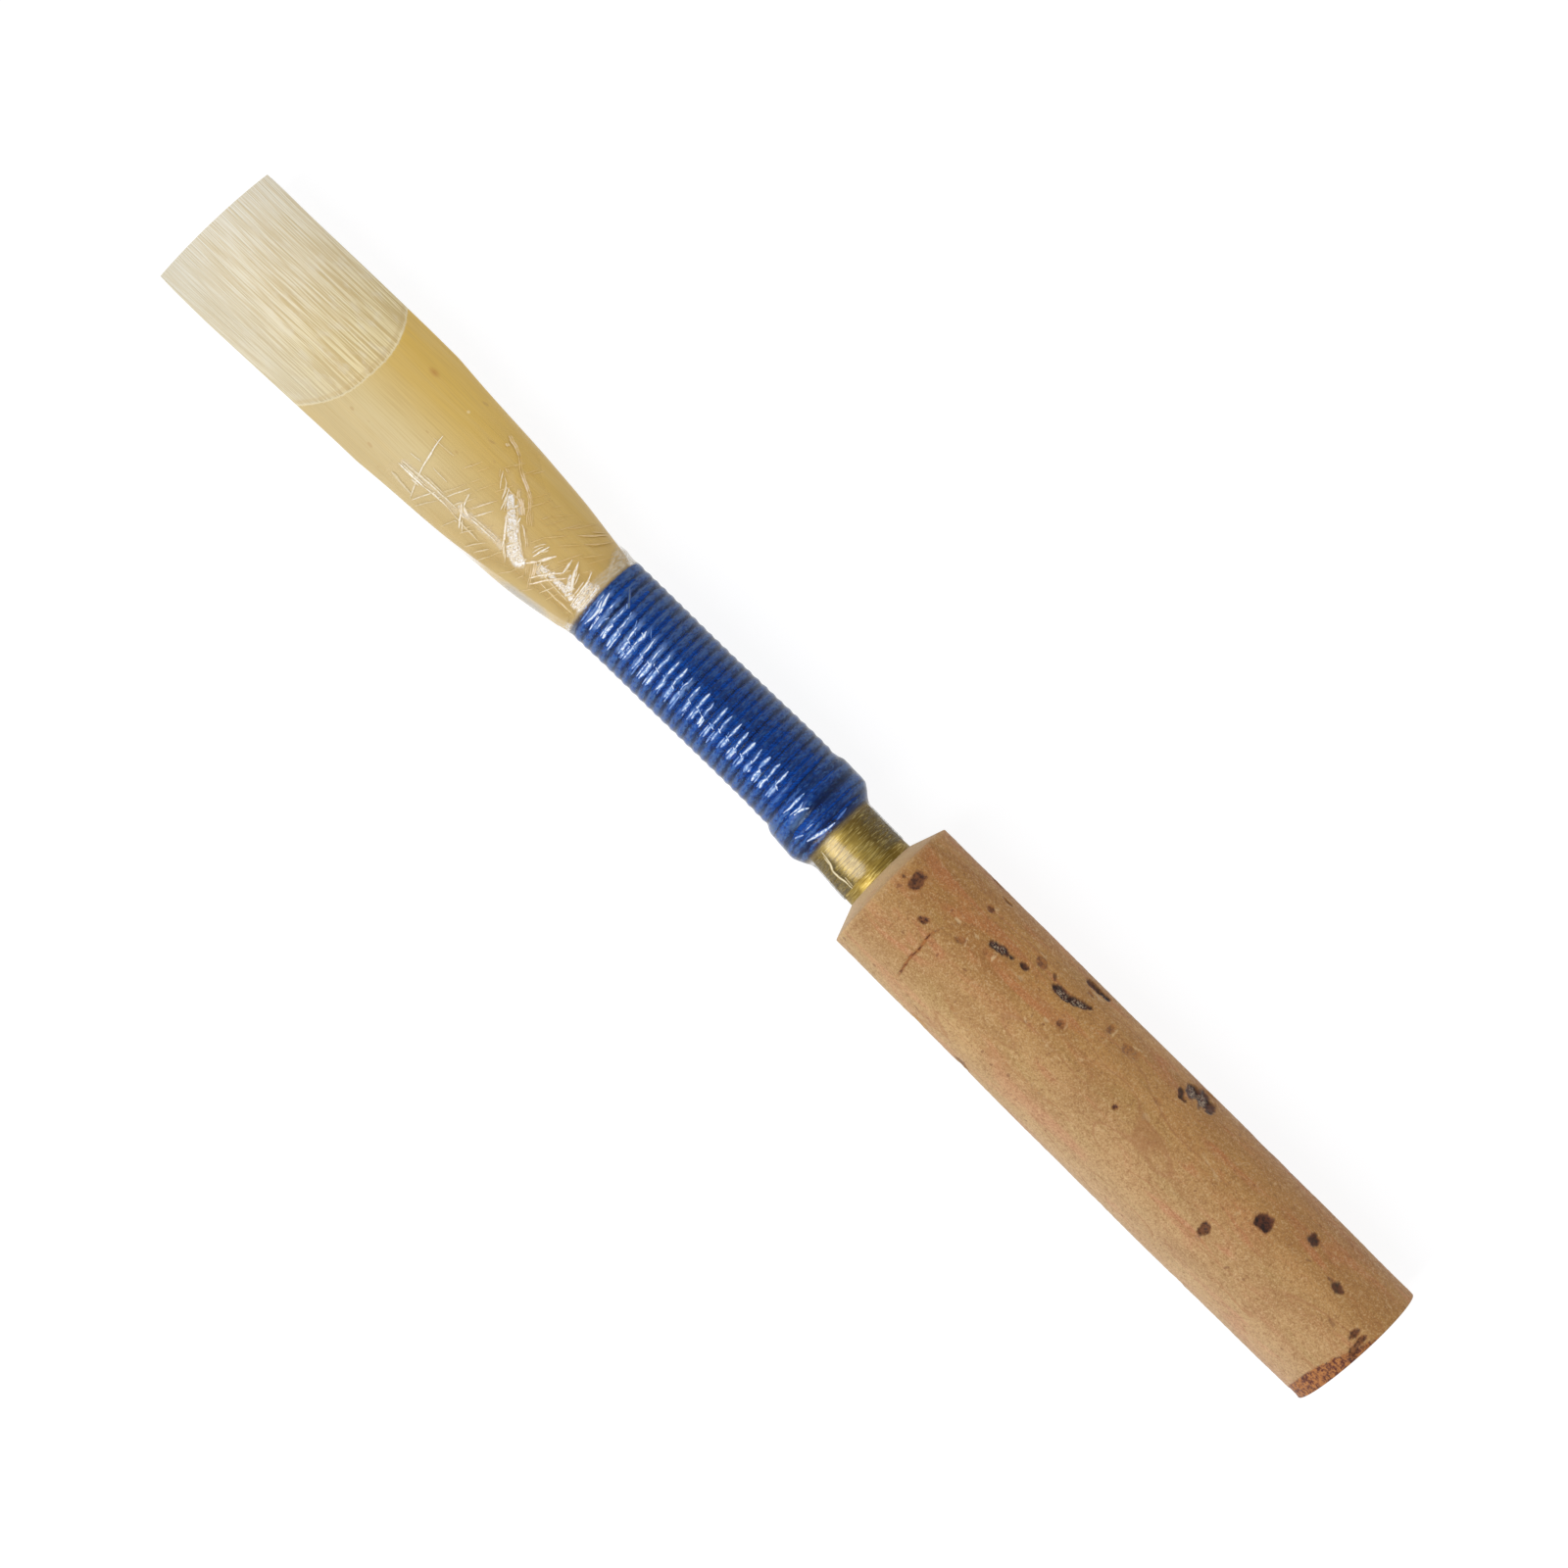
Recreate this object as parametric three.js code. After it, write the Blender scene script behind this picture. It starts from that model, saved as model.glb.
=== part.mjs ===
// An oboe reed, lying as it rests on a table: the tip points along -X, the cork foot along +X, the flat of the
// blades faces +Z and the cork touches Z = 0. Lengths are in millimetres. Stations are distances from the tip.
import * as THREE from "three";

// The staple: a cone of thin brass, round at its foot and oval at its top. Its foot is flush with the cork's.
const STAPLE_LENGTH = 47;
const STAPLE_WALL = 0.3;
const STAPLE_FOOT_RADIUS = 2.7;
const STAPLE_TOP_HALF_WIDTH = 1.56;
const STAPLE_TOP_HALF_HEIGHT = 1.11;
const STAPLE_ROUND_LENGTH = 30;

// The cork sleeve on the lower staple, from below a neck of bare brass down to the staple's foot, with its
// sloped shoulder and its slightly drawn-in foot.
const NECK_LENGTH = 2.78;
const CORK_SHOULDER_RISE = 0.57;
const CORK_RADIUS = 3.45;
const CORK_FOOT_RADIUS = 3.38;
const CORK_FOOT_TAPER_LENGTH = 10;
const CORK_FOOT_ROUND = 0.12;
const CORK_GLUE_GAP = 0.05;

// The blades: their length above the staple and tied down over it, the width and thickness of the cane, and
// the opening between them at the tip.
const BLADE_FREE_LENGTH = 25;
const TIED_LENGTH = 12;
const BLADE_TIP_WIDTH = 6.78;
const BLADE_SHOULDER_WIDTH = 6.56;
const BLADE_SHOULDER_STATION = 12.6;
const CANE_THICKNESS = 0.58;
const THROAT_SIDE_WALL = 0.21;
const TIP_SIDE_WALL = 0.12;
const BUTT_WALL = 0.07;
const TIP_OPENING = 0.9;
const BLADE_EDGE_GAP = 0.04;
const CANE_FIT = 0.03;

// The scrape: its length on the middle of the blade, how far its line runs back at the sides, and its depth.
const SCRAPE_LENGTH = 10.3;
const SCRAPE_LINE_RETREAT = 1.3;
const SCRAPE_STEP_RUN = 0.25;
const HEART_THICKNESS = 0.47;
const TIP_THICKNESS = 0.1;
const TIP_SIDE_THICKNESS = 0.07;

// The thread, from the top of the staple down over the tied cane to its tie-off on the bare brass.
const THREAD_DIAMETER = 0.28;
const THREAD_LEAST_GAP = 0.42;
const THREAD_SEAT_GAP = 0.03;
const TIE_OFF_LENGTH = 2.2;
const TIE_OFF_WALL = 0.17;
const TIE_OFF_CLIMB = 0.56;

// The clear film over the lower cane, the thread and the neck of the staple.
const FILM_REACH = 10.6;
const FILM_TO_CORK = 0.45;
const FILM_WALL = 0.03;
const FILM_CLEARANCE = 0.03;
const FILM_WEB_LENGTH = 4.5;
const FILM_FOOT_SLOPE = 0.7;

// Shares: how a shape runs between its named sizes.
const TIP_FULLNESS_SHARE = 0.9;
const ROUND_FULLNESS_SHARE = 0.5;
const TAPER_ENTRY_SLOPE_SHARE = 0.7;
const TAPER_EXIT_SLOPE_SHARE = 1.5;
const THINNING_POWER_SHARE = 0.75;

// Facets.
const HALF_RING_SIDES = 16;
const RING_SIDES = 2 * HALF_RING_SIDES;
const CORK_SIDES = 48;
const FOOT_ROUND_STEPS = 3;
const SCRAPE_ROWS = 8;
const BARK_ROWS = 12;
const TIED_ROWS = 5;
const OVAL_ROWS = 6;
const LOOP_STEPS = 24;
const THREAD_SIDES = 6;
const FILM_CANE_ROWS = 7;

// Places along the reed that several pieces share.
const reedLength = BLADE_FREE_LENGTH + STAPLE_LENGTH;
const throatStation = BLADE_FREE_LENGTH;
const buttStation = throatStation + TIED_LENGTH;
const threadRadius = THREAD_DIAMETER / 2;
const climbEndStation = buttStation + TIE_OFF_CLIMB;
const tieOffStation = climbEndStation + threadRadius;
const threadEndStation = tieOffStation + TIE_OFF_LENGTH;
const corkTopStation = threadEndStation + NECK_LENGTH;
const corkShoulderStation = corkTopStation + CORK_SHOULDER_RISE;
const filmStartStation = throatStation - FILM_REACH;
const filmEndStation = corkTopStation - FILM_TO_CORK;
const axisHeight = CORK_RADIUS * Math.cos(Math.PI / CORK_SIDES);

const lerp = THREE.MathUtils.lerp;
const clamp = THREE.MathUtils.clamp;
const smooth = THREE.MathUtils.smoothstep;
const xAt = (station) => station - reedLength / 2;

// The staple's mean radius and its half axes at a station, on the outside of its wall.
const stapleTopRadius = (STAPLE_TOP_HALF_WIDTH + STAPLE_TOP_HALF_HEIGHT) / 2;
const stapleTopOvality = (STAPLE_TOP_HALF_WIDTH - STAPLE_TOP_HALF_HEIGHT) / 2;

function stapleRadius(station) {
  const share = (station - throatStation) / STAPLE_LENGTH;
  return lerp(stapleTopRadius, STAPLE_FOOT_RADIUS, share);
}

function stapleOvality(station) {
  const ovalLength = STAPLE_LENGTH - STAPLE_ROUND_LENGTH;
  const share = clamp((throatStation + ovalLength - station) / ovalLength, 0, 1);
  return stapleTopOvality * share * share;
}

const stapleHalfWidth = (station) => stapleRadius(station) + stapleOvality(station);
const stapleHalfHeight = (station) => stapleRadius(station) - stapleOvality(station);

// A blade's outline: near parallel down to its shoulder, then drawn in by one smooth curve to the throat, and
// from there down following the staple with walls that thin out towards the butt.
const throatHalfWidth = stapleHalfWidth(throatStation) + CANE_FIT + THROAT_SIDE_WALL;

function taperShare(share) {
  const square = share * share;
  const cube = square * share;
  const entry = (cube - 2 * square + share) * TAPER_ENTRY_SLOPE_SHARE;
  const exit = (cube - square) * TAPER_EXIT_SLOPE_SHARE;
  return entry + 3 * square - 2 * cube + exit;
}

function tiedShare(station) {
  return clamp((station - throatStation) / TIED_LENGTH, 0, 1);
}

function bladeHalfWidth(station) {
  if (station >= throatStation) {
    const wall = lerp(THROAT_SIDE_WALL, BUTT_WALL, tiedShare(station));
    return stapleHalfWidth(station) + CANE_FIT + wall;
  }
  if (station <= BLADE_SHOULDER_STATION) {
    const share = smooth(station, 0, 2 * BLADE_SHOULDER_STATION) * 2;
    return lerp(BLADE_TIP_WIDTH, BLADE_SHOULDER_WIDTH, share) / 2;
  }
  const share = (station - BLADE_SHOULDER_STATION) / (throatStation - BLADE_SHOULDER_STATION);
  return lerp(BLADE_SHOULDER_WIDTH / 2, throatHalfWidth, taperShare(share));
}

// The hollow inside the pair of blades: half its height and half its width.
function hollowHalfHeight(station) {
  if (station >= throatStation) return stapleHalfHeight(station) + CANE_FIT;
  const throatHeight = stapleHalfHeight(throatStation) + CANE_FIT;
  const share = Math.sin((station / throatStation) * (Math.PI / 2));
  return lerp(TIP_OPENING / 2, throatHeight, share);
}

function hollowHalfWidth(station) {
  if (station >= throatStation) return stapleHalfWidth(station) + CANE_FIT;
  const wall = lerp(TIP_SIDE_WALL, THROAT_SIDE_WALL, station / throatStation);
  return bladeHalfWidth(station) - wall;
}

// The scrape: a shallow arc across the blade, a small step down from the bark, and from there ever thinner
// cane to the tip, thinnest at its corners. across runs from -1 to 1 over the blade's width.
const scrapeLine = (across) => SCRAPE_LENGTH - SCRAPE_LINE_RETREAT * across * across;

function caneThickness(station, across) {
  if (station >= throatStation) return lerp(CANE_THICKNESS, BUTT_WALL, tiedShare(station));
  const toLine = scrapeLine(across) - station;
  if (toLine <= 0) return CANE_THICKNESS;
  const tip = lerp(TIP_THICKNESS, TIP_SIDE_THICKNESS, across * across);
  const scraped = lerp(tip, HEART_THICKNESS, Math.pow(station / scrapeLine(across), THINNING_POWER_SHARE));
  return lerp(CANE_THICKNESS, scraped, clamp(toLine / SCRAPE_STEP_RUN, 0, 1));
}

// How full a cross section is: a flat lens at the tip, an ellipse at the throat and below.
function fullness(station) {
  const share = clamp(station / throatStation, 0, 1);
  return 2 * lerp(TIP_FULLNESS_SHARE, ROUND_FULLNESS_SHARE, share);
}

const crown = (angle, station) => Math.pow(Math.max(Math.sin(angle), 0), fullness(station));

function barkPoint(station, angle) {
  const across = Math.cos(angle);
  const height = hollowHalfHeight(station) + caneThickness(station, across);
  const y = bladeHalfWidth(station) * across;
  return new THREE.Vector3(xAt(station), y, BLADE_EDGE_GAP / 2 + height * crown(angle, station));
}

function gougePoint(station, angle) {
  const y = hollowHalfWidth(station) * Math.cos(angle);
  const z = BLADE_EDGE_GAP / 2 + hollowHalfHeight(station) * crown(angle, station);
  return new THREE.Vector3(xAt(station), y, z);
}

// Rows of points become a closed surface by stitching neighbouring rows. A closed row joins its ends.
function newSurface() {
  return { points: [], indices: [] };
}

function addRow(surface, row) {
  return row.map((point) => surface.points.push(point) - 1);
}

function stitch(surface, rowA, rowB, closed) {
  const spans = closed ? rowA.length : rowA.length - 1;
  for (let i = 0; i < spans; i += 1) {
    const next = (i + 1) % rowA.length;
    surface.indices.push(rowA[i], rowA[next], rowB[i]);
    surface.indices.push(rowA[next], rowB[next], rowB[i]);
  }
}

function geometryOf(surface) {
  const geometry = new THREE.BufferGeometry().setFromPoints(surface.points);
  geometry.setIndex(surface.indices);
  geometry.computeVertexNormals();
  return geometry;
}

// A wall between an outer and an inner set of rows, ordered along +X and turning from +Y to +Z.
function wallGeometry(outerRows, innerRows, closed) {
  const surface = newSurface();
  const outer = outerRows.map((row) => addRow(surface, row));
  const inner = innerRows.map((row) => addRow(surface, row));
  const last = outer.length - 1;
  for (let m = 0; m < last; m += 1) {
    stitch(surface, outer[m], outer[m + 1], closed);
    stitch(surface, inner[m + 1], inner[m], closed);
  }
  stitch(surface, inner[0], outer[0], closed);
  stitch(surface, outer[last], inner[last], closed);
  if (!closed) {
    const end = outer[0].length - 1;
    const edge = (rows, i) => rows.map((row) => row[i]);
    stitch(surface, edge(outer, 0), edge(inner, 0), false);
    stitch(surface, edge(inner, end), edge(outer, end), false);
  }
  return geometryOf(surface);
}

// A blade's rows follow the arc of the scrape line, so the step lies on one clean curve.
function bladeStations() {
  const rows = [];
  for (let i = 0; i <= SCRAPE_ROWS; i += 1) {
    const share = i / SCRAPE_ROWS;
    rows.push((across) => share * (scrapeLine(across) - SCRAPE_STEP_RUN));
  }
  for (let i = 0; i <= BARK_ROWS; i += 1) {
    const share = i / BARK_ROWS;
    rows.push((across) => lerp(scrapeLine(across), throatStation, share));
  }
  for (let i = 1; i <= TIED_ROWS; i += 1) {
    const station = throatStation + (TIED_LENGTH * i) / TIED_ROWS;
    rows.push(() => station);
  }
  return rows;
}

function bladeGeometry() {
  const halfRing = (stationAt, pointAt) => {
    const row = [];
    for (let i = 0; i <= HALF_RING_SIDES; i += 1) {
      const angle = (Math.PI * i) / HALF_RING_SIDES;
      row.push(pointAt(stationAt(Math.cos(angle)), angle));
    }
    return row;
  };
  const stations = bladeStations();
  const outer = stations.map((stationAt) => halfRing(stationAt, barkPoint));
  const inner = stations.map((stationAt) => halfRing(stationAt, gougePoint));
  return wallGeometry(outer, inner, false);
}

// A full ring at a station, with its half axes and its fullness.
function ring(station, halfWidth, halfHeight, full = 2 * ROUND_FULLNESS_SHARE) {
  const row = [];
  for (let i = 0; i < RING_SIDES; i += 1) {
    const angle = (2 * Math.PI * i) / RING_SIDES;
    const rise = Math.sin(angle);
    const z = halfHeight * Math.sign(rise) * Math.pow(Math.abs(rise), full);
    row.push(new THREE.Vector3(xAt(station), halfWidth * Math.cos(angle), z));
  }
  return row;
}

function stapleGeometry() {
  const stations = [];
  for (let i = 0; i <= OVAL_ROWS; i += 1) {
    stations.push(throatStation + ((STAPLE_LENGTH - STAPLE_ROUND_LENGTH) * i) / OVAL_ROWS);
  }
  stations.push(reedLength);
  const rings = (wall) =>
    stations.map((s) => ring(s, stapleHalfWidth(s) - wall, stapleHalfHeight(s) - wall));
  return wallGeometry(rings(0), rings(STAPLE_WALL), true);
}

// Turned pieces: the profile is radius against station, the outer side first, towards the foot.
function turnedGeometry(profile, sides) {
  const points = profile.map(([radius, station]) => new THREE.Vector2(radius, xAt(station)));
  points.push(points[0].clone());
  const geometry = new THREE.LatheGeometry(points, sides, Math.PI / sides);
  return geometry.rotateZ(-Math.PI / 2);
}

function corkGeometry() {
  const bore = (station) => stapleHalfWidth(station) + CORK_GLUE_GAP;
  const profile = [
    [bore(corkTopStation), corkTopStation],
    [CORK_RADIUS, corkShoulderStation],
    [CORK_RADIUS, reedLength - CORK_FOOT_TAPER_LENGTH],
  ];
  for (let i = 0; i <= FOOT_ROUND_STEPS; i += 1) {
    const angle = (Math.PI / 2) * (i / FOOT_ROUND_STEPS);
    profile.push([
      CORK_FOOT_RADIUS - CORK_FOOT_ROUND * (1 - Math.cos(angle)),
      reedLength - CORK_FOOT_ROUND * (1 - Math.sin(angle)),
    ]);
  }
  profile.push([bore(reedLength), reedLength]);
  return turnedGeometry(profile, CORK_SIDES);
}

// The wraps under the tie-off: a sleeve on the brass with rounded shoulders.
const tieOffBore = (station) => stapleHalfWidth(station) + THREAD_SEAT_GAP;
const tieOffRadius = tieOffBore(threadEndStation) + TIE_OFF_WALL;

function tieOffGeometry() {
  const shoulder = TIE_OFF_WALL / 2;
  const profile = [
    [tieOffBore(tieOffStation), tieOffStation],
    [tieOffRadius - shoulder, tieOffStation],
    [tieOffRadius, tieOffStation + shoulder],
    [tieOffRadius, threadEndStation - shoulder],
    [tieOffRadius - shoulder, threadEndStation],
    [tieOffBore(threadEndStation), threadEndStation],
  ];
  return turnedGeometry(profile, RING_SIDES);
}

// What the thread lies on: the tied cane, then the wraps of the tie-off, with a short climb between them.
function bedHalfAxes(station) {
  const onCane = Math.min(station, buttStation);
  const climb = smooth(station, buttStation, climbEndStation);
  const caneHalfHeight = hollowHalfHeight(onCane) + caneThickness(onCane, 0) + BLADE_EDGE_GAP / 2;
  return {
    halfWidth: lerp(bladeHalfWidth(onCane), tieOffRadius, climb),
    halfHeight: lerp(caneHalfHeight, tieOffRadius, climb),
  };
}

// The winding: one unbroken tube, as many turns as its length holds at the least gap between neighbours.
const windingStart = throatStation + threadRadius;
const windingEnd = threadEndStation - threadRadius;
const loops = Math.floor((windingEnd - windingStart) / (THREAD_DIAMETER + THREAD_LEAST_GAP));

function windingPoint(turn) {
  const station = lerp(windingStart, windingEnd, turn / loops);
  const bed = bedHalfAxes(station);
  const angle = 2 * Math.PI * turn;
  const lift = THREAD_SEAT_GAP + threadRadius;
  const y = (bed.halfWidth + lift) * Math.cos(angle);
  const z = (bed.halfHeight + lift) * Math.sin(angle);
  return new THREE.Vector3(xAt(station), y, z);
}

function windingPath() {
  const path = [];
  for (let i = 0; i <= loops * LOOP_STEPS; i += 1) path.push(windingPoint(i / LOOP_STEPS));
  const tail = (end, before) => end.clone().sub(before).setLength(THREAD_DIAMETER).add(end);
  path.unshift(tail(path[0], path[1]));
  path.push(tail(path.at(-1), path.at(-2)));
  return path;
}

function leastGap(path) {
  let least = Infinity;
  for (let i = 0; i < path.length; i += 1) {
    for (let j = i + LOOP_STEPS / 2; j < path.length; j += 1) {
      least = Math.min(least, path[i].distanceTo(path[j]));
    }
  }
  return least - THREAD_DIAMETER;
}

function windingGeometry() {
  const path = windingPath();
  console.log(`thread winding: ${loops} loops, least gap ${leastGap(path).toFixed(3)} mm`);
  const surface = newSurface();
  const along = new THREE.Vector3(1, 0, 0);
  const rows = path.map((centre) => {
    const outward = new THREE.Vector3(0, centre.y, centre.z).normalize();
    const row = [];
    for (let i = 0; i < THREAD_SIDES; i += 1) {
      const angle = (2 * Math.PI * i) / THREAD_SIDES;
      const point = centre.clone().addScaledVector(outward, threadRadius * Math.cos(angle));
      row.push(point.addScaledVector(along, threadRadius * Math.sin(angle)));
    }
    return addRow(surface, row);
  });
  for (let m = 0; m < rows.length - 1; m += 1) stitch(surface, rows[m + 1], rows[m], true);
  const first = rows[0];
  const last = rows.at(-1);
  for (let i = 1; i < THREAD_SIDES - 1; i += 1) {
    surface.indices.push(first[0], first[i], first[i + 1]);
    surface.indices.push(last[0], last[i + 1], last[i]);
  }
  return geometryOf(surface);
}

// The film hugs the cane, webs out over the throat to the thread, then follows the thread, its bulge and the
// brass neck.
function filmRings(clearance) {
  const rings = [];
  const threadLift = THREAD_SEAT_GAP + THREAD_DIAMETER;
  for (let i = 0; i <= FILM_CANE_ROWS; i += 1) {
    const station = lerp(filmStartStation, throatStation, i / FILM_CANE_ROWS);
    const web = threadLift * smooth(station, throatStation - FILM_WEB_LENGTH, throatStation) + clearance;
    const halfHeight = hollowHalfHeight(station) + CANE_THICKNESS + BLADE_EDGE_GAP / 2;
    rings.push(ring(station, bladeHalfWidth(station) + web, halfHeight + web, fullness(station)));
  }
  const midThread = (throatStation + buttStation) / 2;
  for (const station of [midThread, buttStation, climbEndStation, threadEndStation]) {
    const bed = bedHalfAxes(station);
    const lift = threadLift + clearance;
    rings.push(ring(station, bed.halfWidth + lift, bed.halfHeight + lift));
  }
  for (const station of [threadEndStation + FILM_FOOT_SLOPE, filmEndStation]) {
    rings.push(ring(station, stapleHalfWidth(station) + clearance, stapleHalfHeight(station) + clearance));
  }
  return rings;
}

function filmGeometry() {
  return wallGeometry(filmRings(FILM_CLEARANCE + FILM_WALL), filmRings(FILM_CLEARANCE), true);
}

// Finishes, and the pieces in their places.
const cane = new THREE.MeshStandardMaterial({ color: 0xdcc48a, roughness: 0.55, metalness: 0 });
const brass = new THREE.MeshStandardMaterial({ color: 0xc9a23f, roughness: 0.35, metalness: 1 });
const corkBark = new THREE.MeshStandardMaterial({ color: 0xc09a6b, roughness: 0.85, metalness: 0 });
const blueThread = new THREE.MeshStandardMaterial({ color: 0x2250a8, roughness: 0.5, metalness: 0 });
const clearFilm = new THREE.MeshStandardMaterial({ color: 0xe8ecee, roughness: 0.2, metalness: 0 });
clearFilm.transparent = true;
clearFilm.opacity = 0.35;

function piece(name, geometry, material) {
  const mesh = new THREE.Mesh(geometry, material);
  mesh.name = name;
  return mesh;
}

const reed = new THREE.Group();
reed.position.z = axisHeight;
const lowerBlade = piece("lower_blade", bladeGeometry(), cane);
lowerBlade.rotation.x = Math.PI;
reed.add(
  piece("upper_blade", bladeGeometry(), cane),
  lowerBlade,
  piece("staple", stapleGeometry(), brass),
  piece("cork", corkGeometry(), corkBark),
  piece("thread_winding", windingGeometry(), blueThread),
  piece("thread_tie_off", tieOffGeometry(), blueThread),
  piece("sealing_film", filmGeometry(), clearFilm),
);

const part = new THREE.Group();
part.add(reed);

export default part;
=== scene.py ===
import math

import bmesh
import bpy
import numpy as np
from mathutils import Matrix, Vector, noise


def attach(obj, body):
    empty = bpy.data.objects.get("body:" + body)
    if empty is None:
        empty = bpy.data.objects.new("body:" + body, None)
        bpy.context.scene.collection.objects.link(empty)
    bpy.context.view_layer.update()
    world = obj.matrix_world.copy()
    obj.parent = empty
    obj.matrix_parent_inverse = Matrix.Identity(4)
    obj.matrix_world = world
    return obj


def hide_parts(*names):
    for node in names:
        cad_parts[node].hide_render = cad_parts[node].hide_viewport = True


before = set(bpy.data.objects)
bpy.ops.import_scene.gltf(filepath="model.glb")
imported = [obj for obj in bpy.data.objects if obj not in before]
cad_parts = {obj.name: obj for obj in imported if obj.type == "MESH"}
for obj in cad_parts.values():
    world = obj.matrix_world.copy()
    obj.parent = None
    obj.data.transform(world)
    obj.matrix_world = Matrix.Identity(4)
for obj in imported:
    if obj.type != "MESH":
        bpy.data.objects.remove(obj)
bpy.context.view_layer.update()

# An oboe reed. The tip points along -X, the cork foot along +X and the flat of the blades faces +Z.
# Shapes are worked out in millimetres and made in metres. Stations are distances from the tip.
MM = 0.001
AXIS_HEIGHT = 3.443

# Sizes that repeat those of the part.
REED_LENGTH = 72.0
THROAT = 25.0
BUTT = 37.0
STAPLE_LENGTH = 47.0
STAPLE_WALL = 0.3
STAPLE_FOOT_RADIUS = 2.7
STAPLE_TOP_RADIUS = 1.335
STAPLE_TOP_OVALITY = 0.225
STAPLE_OVAL_LENGTH = 17.0
CORK_TOP = 42.68
CORK_SHOULDER = 43.25
CORK_RADIUS = 3.45
CORK_FOOT_RADIUS = 3.38
CORK_FOOT_TAPER = 10.0
CORK_GLUE_GAP = 0.05
BLADE_TIP_WIDTH = 6.78
BLADE_SHOULDER_WIDTH = 6.56
BLADE_SHOULDER = 12.6
CANE_THICKNESS = 0.58
THROAT_SIDE_WALL = 0.21
TIP_SIDE_WALL = 0.12
BUTT_WALL = 0.07
TIP_OPENING = 0.9
EDGE_GAP = 0.04
CANE_FIT = 0.03
HEART_THICKNESS = 0.47
TIP_THICKNESS = 0.1
TIP_SIDE_THICKNESS = 0.07
THREAD_END = 39.82

# Sizes that only show at close range.
SCRAPE_LENGTH = 10.58
SCRAPE_RETREAT = 1.5
SCRAPE_LEAN = 0.25
SCRAPE_LINE_POWER = 2.6
SCRAPE_STEP_RUN = 0.12
SCRAPE_POWER = 0.75
TIP_TRIM = 0.1
TIP_SLANT = 0.25
TIP_CORNER = 0.04
TIP_CORNER_REACH = 0.6
TIP_FULLNESS = 0.9
THROAT_FULLNESS = 0.5
SHOULDER_SLOPE = 0.7
THROAT_SLOPE = 1.5
FULLER_THROAT = 0.13
FULLER_STATIONS = (13.5, 19, 24.3, THROAT)
BLADE_DRIFT = 0.09
BLADE_DRIFT_STATION = 21.3
BLADE_DRIFT_REACH = 2.7
BUTT_DROP_RUN = 0.6
BED_GAP = 0.02
STAPLE_RECESS = 0.2
STAPLE_BEVEL = 0.05
CORK_FOOT_END = 72.33
CORK_FOOT_ROUNDING = 0.03
CORK_BORE_RINGS = ((62.0,), (52.0,))
FOOT_SLANT = 0.42
FOOT_LEAN = 0.14
THREAD_TURNS = 29
FIRST_TURN_IN = 0.24
LAST_TURN_IN = 0.45
STRAND_WIDTH = 0.64
STRAND_HEIGHT = 0.34
STRAND_LIFT = 0.03
PLY_DEPTH = 0.022
LAY_LENGTH = 1.3
SECOND_LAYER_HEIGHT = 0.2
SECOND_LAYER_WIDTH = 0.66
SECOND_LAYER_START = 0.4
SECOND_LAYER_LEAN = 0.1
SECOND_LAYER_TURNS = (0, 0.85, 1.85, 2.75, 3.5)
SECOND_LAYER_STATIONS = (39.2, 39.26, 38.96, 38.14, 37.98)
FILM_START = 13.9
FILM_END = 42.2
FILM_RISE_RUN = 2.6
FILM_LATE_ON_BRASS = 0.36
FILM_WALL = 0.015
FILM_GAP = 0.02
FILM_GAP_AT_NECK = 0.03
GROOVE_DEPTH = 0.11
WRINKLE_WAVER = 0.018

# How finely the meshes are divided: counts, and steps in millimetres.
BLADE_POINTS_ACROSS = 97
SCRAPED_ROWS = 60
BARK_ROWS = 84
TIED_ROWS = 14
STAPLE_SIDES = 96
STAPLE_ROW_STEP = 0.5
CORK_SIDES = (168, 40)
CORK_ROW_STEP = 0.071
POINTS_PER_TURN = 118
STRAND_SIDES = 15
FILM_SIDES = (112, 44)
FILM_ROWS_ON_CANE = 200
FILM_ROW_STEP = 0.052
FILM_ROWS_ON_NECK = 22
FILM_ROWS_PER_INNER_ROW = 12
WRINKLE_STEP = 0.06

# How many marks and lines are drawn by chance.
HIDDEN_MARKS = 46
SCRATCHES = 46
PAINTED_HIGHLIGHT_TURNS = (2, 24)


def lerp(a, b, share):
    return a + (b - a) * share


def smooth(value, low, high):
    """0 up to low and 1 from high on, with a soft slope between them."""
    share = np.clip((value - low) / (high - low), 0, 1)
    return share * share * (3 - 2 * share)


def within(value, start, full, fading, end):
    """1 from full to fading, with soft slopes down to 0 at start and end."""
    return smooth(value, start, full) * (1 - smooth(value, fading, end))


def smoothed_table(stations, offsets, reach):
    """A table of offsets over the whole reed, rounded over a reach."""
    places = np.linspace(0, REED_LENGTH, 721)
    values = np.interp(places, stations, offsets)
    half = int(reach * 10)
    window = np.hanning(2 * half + 1)
    padded = np.pad(values, half, mode="edge")
    return places, np.convolve(padded, window / window.sum(), mode="valid")


# The blades and the winding don't lie quite straight on the staple: they drift to the side a little.
SWAY = smoothed_table(
    (0, 3, 5.5, 8, 11, 13, 16, 20, 23, 25, 27, 30, 33, 36, 37.5, 38.5, 40, 42, 43.5, 50, 56, 72),
    (-0.06, -0.06, 0, 0.06, 0.12, 0.13, 0.11, 0.11, 0.17, 0.26, 0.29, 0.29, 0.32, 0.35, 0.31, 0.25, 0.14)
    + (0.03, 0.05, 0, -0.06, -0.12),
    1.2,
)


def sway(station):
    return np.interp(station, *SWAY)


# The reed's sections.
def staple_radius(station):
    return lerp(STAPLE_TOP_RADIUS, STAPLE_FOOT_RADIUS, (station - THROAT) / STAPLE_LENGTH)


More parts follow.
